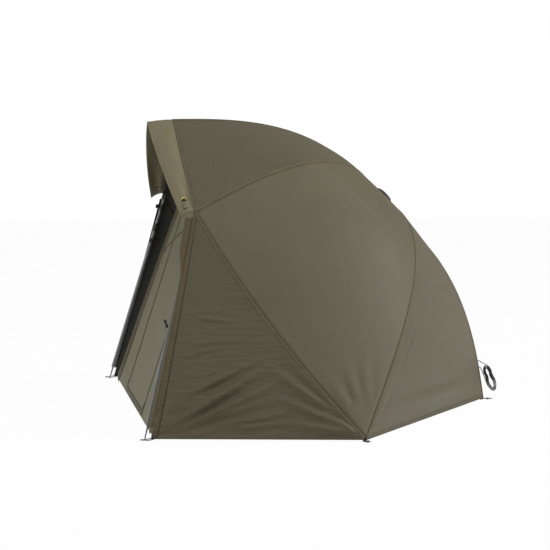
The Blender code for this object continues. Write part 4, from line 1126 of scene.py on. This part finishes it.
# %% Zips, margins and seams on the front
ZIP_HALF_WIDTH = 0.013
COIL_HALF_WIDTH = 0.0026
COIL_PITCH = 0.0025
TAPE_LIFT = 0.0026
MARGIN_HALF_WIDTH = 0.065
MARGIN_LIFT = 0.0024
MARGIN_INSET = 0.067
ARCH = [(0.02, 0.872), (0.30, 0.815), (0.60, 0.735), (0.80, 0.650)]
ARCH_BREAK = (0.425, 0.455)
ARCH_HALF_WIDTH = 0.006
DOOR_HEM_HEIGHT = 0.028
DOOR_HEM_HALF_WIDTH = 0.014
zip_tape = Finish("zip_tape", (0.146, 0.135, 0.078), 0.7)
along, across = zip_tape.along_strip()
coil = (across.size() / COIL_HALF_WIDTH).least(1)
teeth = along.wave(COIL_PITCH)
inside = 1 - coil.rise(0.6, 1.0)
zip_tape.set("Base Color", zip_tape.blend(inside, tinted(zip_tape.colour, 1), (0.115, 0.107, 0.062, 1)))
zip_tape.bump(inside * 0.0010 + inside * teeth * 0.0006, 1.0)
margin_cloth = seam_finish("margin_cloth", (0.100, 0.083, 0.046), (-0.060, 0.060))


def face_band(name, line, half_width, out, material, body, columns=6):
    """A band on the front face along a line of (x, height) points."""
    line = np.array(line)
    way = unit(np.gradient(line, axis=0))
    beside = np.stack([-way[:, 1], way[:, 0]], axis=-1)
    across = np.linspace(-1, 1, columns + 1)[None, :, None] * half_width
    places = line[:, None] + beside[:, None] * across
    crown = 1 - (across[..., 0] / half_width) ** 2
    grid = front_at(places[..., 0], places[..., 1], out + crown * THIN_CROWN)
    made = lay_grid(name, grid, [material], BAND)
    front_fold(made, body)


def smoothed(points, places, count, rounds):
    """Points at even steps along a line, rounded off at its corners."""
    fine = np.linspace(0, places[-1], count)
    line = np.stack([np.interp(fine, places, column) for column in points.T], axis=-1)
    for _ in range(rounds):
        line[1:-1] = (line[:-2] + 2 * line[1:-1] + line[2:]) / 4
    return line


for side, sign in SIDES:
    edge_x = sign * DOOR_HALF_WIDTH
    face_band("zip_tape_" + side, [(edge_x, z) for z in np.linspace(0.02, 0.985, 60)],
              ZIP_HALF_WIDTH, TAPE_LIFT, zip_tape.material, "hub")
    margin = [(sign * (float(front_edge(z)) - MARGIN_INSET), z) for z in np.linspace(0.016, 0.985, 60)]
    face_band("front_margin_" + side, margin, MARGIN_HALF_WIDTH, MARGIN_LIFT, margin_cloth, "hub", 12)
    arch = smoothed(np.array(ARCH), np.linspace(0, 1, len(ARCH)), 60, 20)
    for name, body, part in (("door_arch_", "door", arch[:, 0] < ARCH_BREAK[0]),
                             ("arch_seam_", "hub", arch[:, 0] > ARCH_BREAK[1])):
        face_band(name + side, arch[part] * (sign, 1), ARCH_HALF_WIDTH, TAPE_LIFT, front_seam, body)
hem = [(x, DOOR_HEM_HEIGHT) for x in np.linspace(-ARCH_BREAK[0], ARCH_BREAK[0], 40)]
face_band("door_hem", hem, DOOR_HEM_HALF_WIDTH, TAPE_LIFT, front_seam, "door")
print("front pieces done")

# %% [markdown]
# ## Straps, loops and the small things
#
# Flat webbing is modelled directly, as a ribbon along a line of points. The shoulder strap ties the
# cloth to its storm pole; beside it a doubled pull with a bright bead shows where to grip it.

# %% Ribbons
def as_rows(points):
    return np.array([tuple(point) for point in points])


def ribbon(name, points, across, width, material, thickness=0.0018, columns=4):
    """A flat strap along a line of points, with its width along a given way."""
    spread = np.linspace(-0.5, 0.5, columns + 1)[None, :, None] * width
    way = np.array(Vector(across).normalized())
    return lay_grid(name, as_rows(points)[:, None] + way * spread, [material], thickness, offset=0)


def smooth_points(points, count, rounds):
    points = as_rows(points)
    return smoothed(points, run_along(points), count, rounds)


def revolved(name, profile, centre, axis, material, sides=24):
    """A turned piece: (radius, height) pairs round an axis."""
    axis = Vector(axis).normalized()
    side = axis.orthogonal().normalized()
    other = axis.cross(side)
    shape = bmesh.new()
    rings = []
    for radius, height in profile:
        ring = [shape.verts.new(Vector(centre) + axis * height
                                + (side * math.cos(turn) + other * math.sin(turn)) * radius)
                for turn in np.linspace(0, 2 * math.pi, sides, endpoint=False)]
        rings.append(ring)
    for lower, upper in zip(rings, rings[1:]):
        for index in range(sides):
            after = (index + 1) % sides
            shape.faces.new((lower[index], lower[after], upper[after], upper[index]))
    shape.faces.new(list(reversed(rings[0])))
    shape.faces.new(rings[-1])
    bmesh.ops.recalc_face_normals(shape, faces=shape.faces)
    mesh = bpy.data.meshes.new(name)
    shape.to_mesh(mesh)
    shape.free()
    return add_piece(name, mesh, [material])


# %% Storm pole lines
POLE_FOOT = (1.072, -0.025)
POLE_TOP_INSET = (0.020, 0.012, 0.004)
TOP_SPIKE = 0.026
ROD_SHORT = 0.060
CAP_LENGTH = 0.040
STRAP_WIDTH = 0.0126
STRAP_START = 0.0075
STRAP_RISE = 0.0028
CAP_STAND = 0.0043
EYELET = [(0.0034, -0.0017), (0.0078, -0.0017), (0.0088, -0.0008), (0.0088, 0.0008),
          (0.0078, 0.0017), (0.0034, 0.0017), (0.0034, -0.0017)]


def pole_line(side, sign):
    """A storm pole's foot, its direction, and its length up to the shoulder."""
    foot = ground_point(sign * POLE_FOOT[0], POLE_FOOT[1], 0)
    inset, behind, drop = POLE_TOP_INSET
    top = ribs["front_" + side].tip + Vector((-sign * inset, behind, -drop))
    return foot, (top - foot).normalized(), (top - foot).length


for side, sign in SIDES:
    rib = ribs["front_" + side]
    foot, way, length = pole_line(side, sign)
    eye = foot + way * (length - TOP_SPIKE / 2)
    end, before = [Vector(rib.points([1 - reach / rib.length], -ROD_DEPTH)[0])
                   for reach in (ROD_SHORT, ROD_SHORT + CAP_LENGTH)]
    along = (end - before).normalized()
    cap_end = end + along * CAP_STAND
    reach = cap_end - eye
    beside = way.cross(reach).normalized()
    line = smooth_points([eye + way * STRAP_RISE, eye + reach * 0.5 + way * 0.001, cap_end], 24, 3)
    start = eye + reach.normalized() * STRAP_START
    strap = ribbon("shoulder_strap_" + side, [start, *line[6:]], beside, STRAP_WIDTH, webbing)
    collar = revolved("strap_eyelet_" + side, EYELET, eye, way, pole_metal)
    for piece in (strap, collar):
        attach(piece, rib.body)
    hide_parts("shoulder_tab_" + side)

# %% [markdown]
# The band up the side panel's front edge runs on ahead as a storm flap. It wraps the outside of the
# pole, so that from the side only a sliver of tube shows low down. On the near side it widens towards
# the shoulder and covers the thumb screw.

# %% Storm flaps over the poles
FLAP_CLEAR = 0.0135
FLAP_SPAN = (0.03, 0.950)
FLAP_OVERLAP = 0.008
FLAP_BULGE = 0.004
WIDENING_START = 0.70
WIDENING_RISE = 0.15
WIDENING = {"left": 0.026, "right": 0.0}


def storm_flap(side, sign, rows=70, columns=8):
    """Points from the side panel's front edge to just outside the storm pole."""
    panel = panels[side]
    down = np.linspace(*FLAP_SPAN, rows + 1)
    edge = panel.at(np.zeros(rows + 1), down)
    foot, way, length = pole_line(side, sign)
    beside = np.array(foot)[None, :] + np.array(way)[None, :] * (edge[:, 2:3] / way.z)
    beside[:, 0] += sign * FLAP_CLEAR
    wide = clamp((edge[:, 2] - WIDENING_START) / WIDENING_RISE)
    wide = WIDENING[side] * wide * wide * (3 - 2 * wide)
    beside[:, 1] = np.minimum(beside[:, 1], edge[:, 1] - FLAP_OVERLAP) - wide
    across = np.linspace(0, 1, columns + 1)[None, :, None]
    grid = edge[:, None] + (beside - edge)[:, None] * across
    grid[..., 0] += sign * FLAP_BULGE * (4 * across * (1 - across))[..., 0]
    return grid


for side, sign in SIDES:
    flap = lay_grid("storm_flap_" + side, storm_flap(side, sign), [band_tape], BAND)
    follow_rib(flap, ribs["side_" + side])

# %% Pulls with a bright bead
PULL_STAND = 0.032
PULL_REACHES = (0.022, 0.072)
PULL_WIDTH = 0.024
KEEPER = [(0.0040, -0.005), (0.0105, -0.005), (0.0118, -0.002), (0.0118, 0.003),
          (0.0100, 0.0065), (0.0040, 0.0065)]
BEAD = [(0.0040, 0.0), (0.0088, 0.0005), (0.0100, 0.005), (0.0090, 0.0110),
        (0.0055, 0.0145), (0.0010, 0.0158)]

for side, sign in SIDES:
    rib = ribs["front_" + side]
    width = (rib.tip - ribs["front_centre"].tip).length
    stand = np.array([PULL_STAND / PEAK_SIDE_REACH])
    places = [np.array([sign * (1 - reach / width)]) for reach in PULL_REACHES]
    seat, end = [Vector(peak_at(place, stand)[0]) for place in places]
    along = (end - seat).normalized()
    face = along.cross(BACK).normalized()
    face = face if face.z > 0 else -face
    aside = along.cross(face)
    lift = face * 0.0022
    fold = [seat + lift, seat + lift * 1.6 + along * 0.012, end + lift * 1.9,
            end + lift * 2.6 + along * 0.002, end + lift * 3.1 - along * 0.006,
            seat + lift * 2.6 + along * 0.004]
    pull = ribbon("pull_strap_" + side, smooth_points(fold, 30, 2), aside, PULL_WIDTH,
                  pull_webbing, 0.0012)
    mouth = end + lift * 2.2
    keeper = revolved("pull_keeper_" + side, KEEPER, mouth + along * 0.003, along, nylon)
    bead = revolved("pull_bead_" + side, BEAD, mouth + along * 0.0075, along, yellow_nylon)
    for piece in (pull, keeper, bead):
        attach(piece, rib.body)
    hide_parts("shoulder_tag_" + side)

# %% [markdown]
# At the front corners a loop of webbing comes out of the cloth and holds the pegging ring. Three
# quarters of the way up each storm pole a short tie keeps the side panel's edge against it.

# %% Corner loops and pole ties
SLEEVE_HEIGHT = 0.0044
WEB_REACH = 0.020
WIRE_RADIUS = 0.0020
LOOP_WIDTH = 0.016
LOOP_CLEAR = 0.0013
THIN_WEB = 0.0014

for side, sign in SIDES:
    foot = ground_point(sign * FRONT_HALF_WIDTH, 0, HEM_LIFT)
    pivot = Vector((foot.x, foot.y - WEB_REACH, SLEEVE_HEIGHT))
    wrap = [pivot + Vector((0, math.cos(turn), math.sin(turn))) * (WIRE_RADIUS + LOOP_CLEAR)
            for turn in np.linspace(math.radians(60), math.radians(300), 17)]
    loop = [foot + Vector((0, 0.022, 0.012)), foot + Vector((0, 0.008, 0.004))] + wrap
    loop += [foot + Vector((0, 0.004, -0.0035)), foot + Vector((0, 0.020, 0.0015))]
    piece = ribbon("corner_loop_" + side, smooth_points(loop, 50, 1), ACROSS, LOOP_WIDTH,
                   black_webbing, THIN_WEB)
    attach(piece, "hub")

TIE_SHARE = 0.755
TIE_RADIUS = 0.0112
TIE_WIDTH = 0.022
TIE_KEEPER = [(0.0030, -0.006), (0.0062, -0.0055), (0.0070, 0), (0.0062, 0.0055), (0.0030, 0.006)]

for side, sign in SIDES:
    pole_foot, way, length = pole_line(side, sign)
    middle = pole_foot + way * (length * TIE_SHARE)
    turned = way.orthogonal().normalized()
    other = way.cross(turned)
    ring = [middle + (turned * math.cos(turn) + other * math.sin(turn)) * TIE_RADIUS
            for turn in np.linspace(0, 2 * math.pi * 0.98, 40)]
    tie = ribbon("pole_tie_" + side, ring, way, TIE_WIDTH, black_webbing, THIN_WEB)
    buckle = revolved("pole_tie_keeper_" + side, TIE_KEEPER,
                      middle + Vector((-sign * 0.004, 0.018, 0)), way, nylon)
    hang = [middle + Vector(step) for step in
            ((0, 0.0118, 0), (0, 0.026, -0.002), (sign * 0.002, 0.044, -0.004))]
    tail = ribbon("pole_tie_tail_" + side, smooth_points(hang, 12, 2), way, 0.016,
                  black_webbing, THIN_WEB)
    for piece in (tie, buckle, tail):
        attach(piece, "hub")

# %% The toggle on the door
TOGGLE_PLACE = (0.405, 0.442)
TOGGLE_WAY = (-0.3, -0.35, 1)
TOGGLE = [(0.0030, -0.021), (0.0062, -0.019), (0.0068, -0.008), (0.0045, 0),
          (0.0068, 0.008), (0.0062, 0.019), (0.0030, 0.021)]

spot = Vector(front_at(*TOGGLE_PLACE, 0.004))
out = Vector(FRONT_FACE)
toggle = revolved("door_toggle", TOGGLE, spot + out * 0.010, TOGGLE_WAY, nylon)
hang = [spot, spot + out * 0.0045, spot + Vector((0.004, 0, -0.012)) + out * 0.003,
        spot + Vector((0.005, 0, -0.024))]
loop = ribbon("toggle_loop", smooth_points(hang, 16, 2), ACROSS, 0.006, black_webbing, 0.0012)
for piece in (toggle, loop):
    front_fold(piece, "door")

# %% [markdown]
# ## The guy cord
#
# A black cord comes out beside the back seam, is wound into a hank for carrying, and goes back in lower
# down. All of its length is in the hank. The route spirals in over one layer of loops and out over the
# next, so no turn lies in another, and every turn is drawn in at the waist where a twist holds it.

# %% Wind the hank
CORD_RADIUS = 0.0020
HANK_TURNS = (3, 2)
HANK_HALF = (0.070, 0.0270)
HANK_PITCH = 0.0060
LAYER_PITCH = 0.0052
TURN_POINTS = 24
HANK_HEIGHT = 0.108
HANK_OUT = 0.020
HANK_LEAN = math.radians(-21)
EXIT_HEIGHTS = (0.192, 0.160)
EXIT_STAND = 0.0007
WAIST = 0.22


def share_at_height(rib, height):
    return last_share(lambda share: rib.points([share])[0][2] >= height)


def leave_cloth(beside, height):
    """Where the cord passes through the cloth beside the back seam, and which way it heads."""
    back = ribs["back"]
    share = share_at_height(back, height)
    a, b = back.points([share])[0], beside.points([share])[0]
    facing = unit(back.outward([share])[0] + beside.outward([share])[0])
    part = LAYER_PITCH / (2 * float(np.linalg.norm(b - a)))
    swing = 4 * part * (1 - part)
    full = FULLNESS_SHARE * float(np.linalg.norm(b - a)) * swing * 4 * share * (1 - share)
    return Vector(a + (b - a) * part + facing * full), Vector(facing)


def hank_route():
    """The cord's points from the cloth, through the hank's turns and back to the cloth."""
    leave, face = leave_cloth(ribs["side_right"], EXIT_HEIGHTS[0])
    enter, low_face = leave_cloth(ribs["side_left"], EXIT_HEIGHTS[1])
    near = Vector(ribs["back"].points([share_at_height(ribs["back"], HANK_HEIGHT)])[0])
    origin = near + BACK * (HANK_OUT + HANK_HALF[1])
    down = (-UP * math.cos(HANK_LEAN) - BACK * math.sin(HANK_LEAN)).normalized()
    wide = ACROSS.cross(down)
    wide = wide if wide.dot(BACK) > 0 else -wide
    per_layer, layers = HANK_TURNS
    turns_all = per_layer * layers
    loops = []
    for index in range(turns_all * TURN_POINTS - TURN_POINTS // 4 + 1):
        turns = index / TURN_POINTS
        ring = turns if turns <= per_layer else turns_all - turns
        layer = min(0.5, max(-0.5, (turns - per_layer) / 0.5)) * LAYER_PITCH
        turn = 2 * math.pi * (turns - 0.25)
        along = math.sin(turn)
        waist = 1 - WAIST * math.exp(-((along + 0.15) / 0.30) ** 2)
        loops.append(origin + down * ((HANK_HALF[0] - ring * HANK_PITCH) * along)
                     + wide * ((HANK_HALF[1] * waist - ring * HANK_PITCH) * math.cos(turn))
                     + ACROSS * layer)
    first, last = loops[0], loops[-2]
    start, finish = leave + face * EXIT_STAND, enter + low_face * EXIT_STAND
    lead_in = [start, start + face * (4 * CORD_RADIUS)]
    lead_in.append(lead_in[-1].lerp(first, 0.45) + BACK * (2 * CORD_RADIUS))
    lead_in.append(lead_in[-2].lerp(first, 0.8) + UP * (2 * CORD_RADIUS))
    lead_out = [finish, finish + low_face * (4 * CORD_RADIUS)]
    lead_out.append(lead_out[-1].lerp(last, 0.4) + BACK * CORD_RADIUS)
    return lead_in + loops[1:-1] + list(reversed(lead_out))


def tube_along(name, points, radius, material, sides=10):
    """A round tube along a line, with a map in metres for its braid."""
    line = as_rows(points)
    ways = unit(np.gradient(line, axis=0))
    side = unit(np.cross(ways[0], (1.0, 0.2, 0.1)))
    run = run_along(line)
    vertices, faces, maps = [], [], []
    for point, way in zip(line, ways):
        side = unit(side - way * side.dot(way))
        other = np.cross(way, side)
        for turn in np.linspace(0, 2 * math.pi, sides, endpoint=False):
            vertices.append(tuple(point + (side * math.cos(turn) + other * math.sin(turn)) * radius))
    for row in range(len(line) - 1):
        for index in range(sides):
            after = (index + 1) % sides
            low, high = row * sides, (row + 1) * sides
            faces.append((low + index, low + after, high + after, high + index))
            for step, share in ((row, index), (row, index + 1), (row + 1, index + 1), (row + 1, index)):
                maps.append((run[step], share / sides))
    faces += [tuple(reversed(range(sides))), tuple(range((len(line) - 1) * sides, len(line) * sides))]
    maps += [(0, 0)] * (2 * sides)
    mesh = bpy.data.meshes.new(name)
    mesh.from_pydata(vertices, [], faces)
    strip = mesh.uv_layers.new(name="strip")
    for place, spot in zip(strip.data, maps):
        place.uv = spot
    return add_piece(name, mesh, [material])


def through(points, fine):
    """A smooth curve through the points."""
    points = [points[0]] + list(points) + [points[-1]]
    line = []
    for a, b, c, d in zip(points, points[1:], points[2:], points[3:]):
        for step in range(fine):
            t = step / fine
            line.append(0.5 * ((2 * b) + (c - a) * t + (2 * a - 5 * b + 4 * c - d) * t ** 2
                               + (3 * b - a - 3 * c + d) * t ** 3))
    return line + [points[-1]]


route = through(hank_route(), 4)
cord_length = sum((b - a).length for a, b in zip(route, route[1:]))
hank = tube_along("guy_cord", route, CORD_RADIUS, cord_braid)
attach(hank, "back_rib")
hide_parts("guy_hank")
print("guy cord", round(cord_length, 3), "m")

# %% [markdown]
# ## Finishes for the frame
#
# The poles, ribs, hub and rings are the CAD model's own solids. Each takes a finish made above, by what
# it is made of.

# %% Dress the frame
FINISHES = {"rib_cap": nylon, "rib": glass_fibre, "hub_boss": nylon, "hub_cap": nylon,
            "centre_tube": pole_metal, "tube_plug": nylon, "runner_catch": nylon, "runner": nylon,
            "stretcher": pole_metal, "pole_lower": pole_metal, "pole_upper": pole_metal,
            "pole_lock": nylon, "pole_head": nylon, "pole_knob": nylon, "zip_slider": pole_metal,
            "ring": ring_wire}
for name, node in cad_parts.items():
    starts = [key for key in FINISHES if name.startswith(key)]
    if starts and not node.hide_render:
        node.data.materials.clear()
        node.data.materials.append(FINISHES[max(starts, key=len)])
print("frame nodes dressed")

# %% [markdown]
# ## The studio
#
# A pale floor, an even white surround and three soft lights: one high behind, which brightens the rear
# gores, one nearly overhead, whose glancing light draws the folds of the near side, and one for the
# door. The camera sees the floor and the surround as white, and glossy surfaces see the floor so too,
# while the light that falls on the object stays plain.

# %% Floor, surround and lights
FLOOR_HALF = 14.0
FLOOR_DROP = 0.0005
FLOOR_WHITE = 0.97
WORLD_LIGHT = 0.25
WHITE = (1, 1, 1, 1)

paving = Finish("floor", (0.82, 0.82, 0.81), 0.9)
white = paving.node("ShaderNodeEmission", {}, {"Color": WHITE, "Strength": 1.0})
to_camera, to_gloss, to_glass = [paving.node("ShaderNodeLightPath", output="Is " + kind + " Ray")
                                 for kind in ("Camera", "Glossy", "Transmission")]
seen = to_camera.most(to_gloss).most(to_glass) * FLOOR_WHITE
plain = Signal(paving, paving.shader.outputs[0])
paving.feed(paving.tree.nodes["Material Output"].inputs["Surface"],
            paving.node("ShaderNodeMixShader", {}, {0: seen, 1: plain, 2: white}))

mesh = bpy.data.meshes.new("floor")
mesh.from_pydata([(x * FLOOR_HALF, y * FLOOR_HALF, 0) for x, y in ((-1, -1), (1, -1), (1, 1), (-1, 1))],
                 [], [(0, 1, 2, 3)])
floor = add_piece("floor", mesh, [paving.material])
floor.location = (0, 0, -FLOOR_DROP)

world = bpy.data.worlds.new("surround")
bpy.context.scene.world = world
world.use_nodes = True
tree = world.node_tree
plain = tree.nodes["Background"]
shown = tree.nodes.new("ShaderNodeBackground")
for shader, strength in ((plain, WORLD_LIGHT), (shown, 1.0)):
    shader.inputs["Color"].default_value = WHITE
    shader.inputs["Strength"].default_value = strength
chosen = tree.nodes.new("ShaderNodeMixShader")
light = tree.nodes.new("ShaderNodeLightPath")
tree.links.new(light.outputs["Is Camera Ray"], chosen.inputs[0])
tree.links.new(plain.outputs[0], chosen.inputs[1])
tree.links.new(shown.outputs[0], chosen.inputs[2])
tree.links.new(chosen.outputs[0], tree.nodes["World Output"].inputs["Surface"])


def soft_light(name, place, aim, size, power):
    lamp = bpy.data.lights.new(name, "AREA")
    lamp.shape = "DISK"
    lamp.size = size
    lamp.energy = power
    made = bpy.data.objects.new(name, lamp)
    made.location = place
    made.rotation_euler = (Vector(place) - Vector(aim)).to_track_quat("Z", "Y").to_euler()
    bpy.context.collection.objects.link(made)


soft_light("high_light", (1.6, 6.4, 4.2), (0.3, 0.4, 0.6), 3.6, 370)
soft_light("top_light", (3.0, -1.2, 5.8), (0.4, 0, 0.5), 2.2, 122)
soft_light("door_light", (-0.6, -7.0, 1.6), (0, -0.8, 0.9), 3.0, 150)
bpy.context.scene.view_settings.view_transform = "Standard"
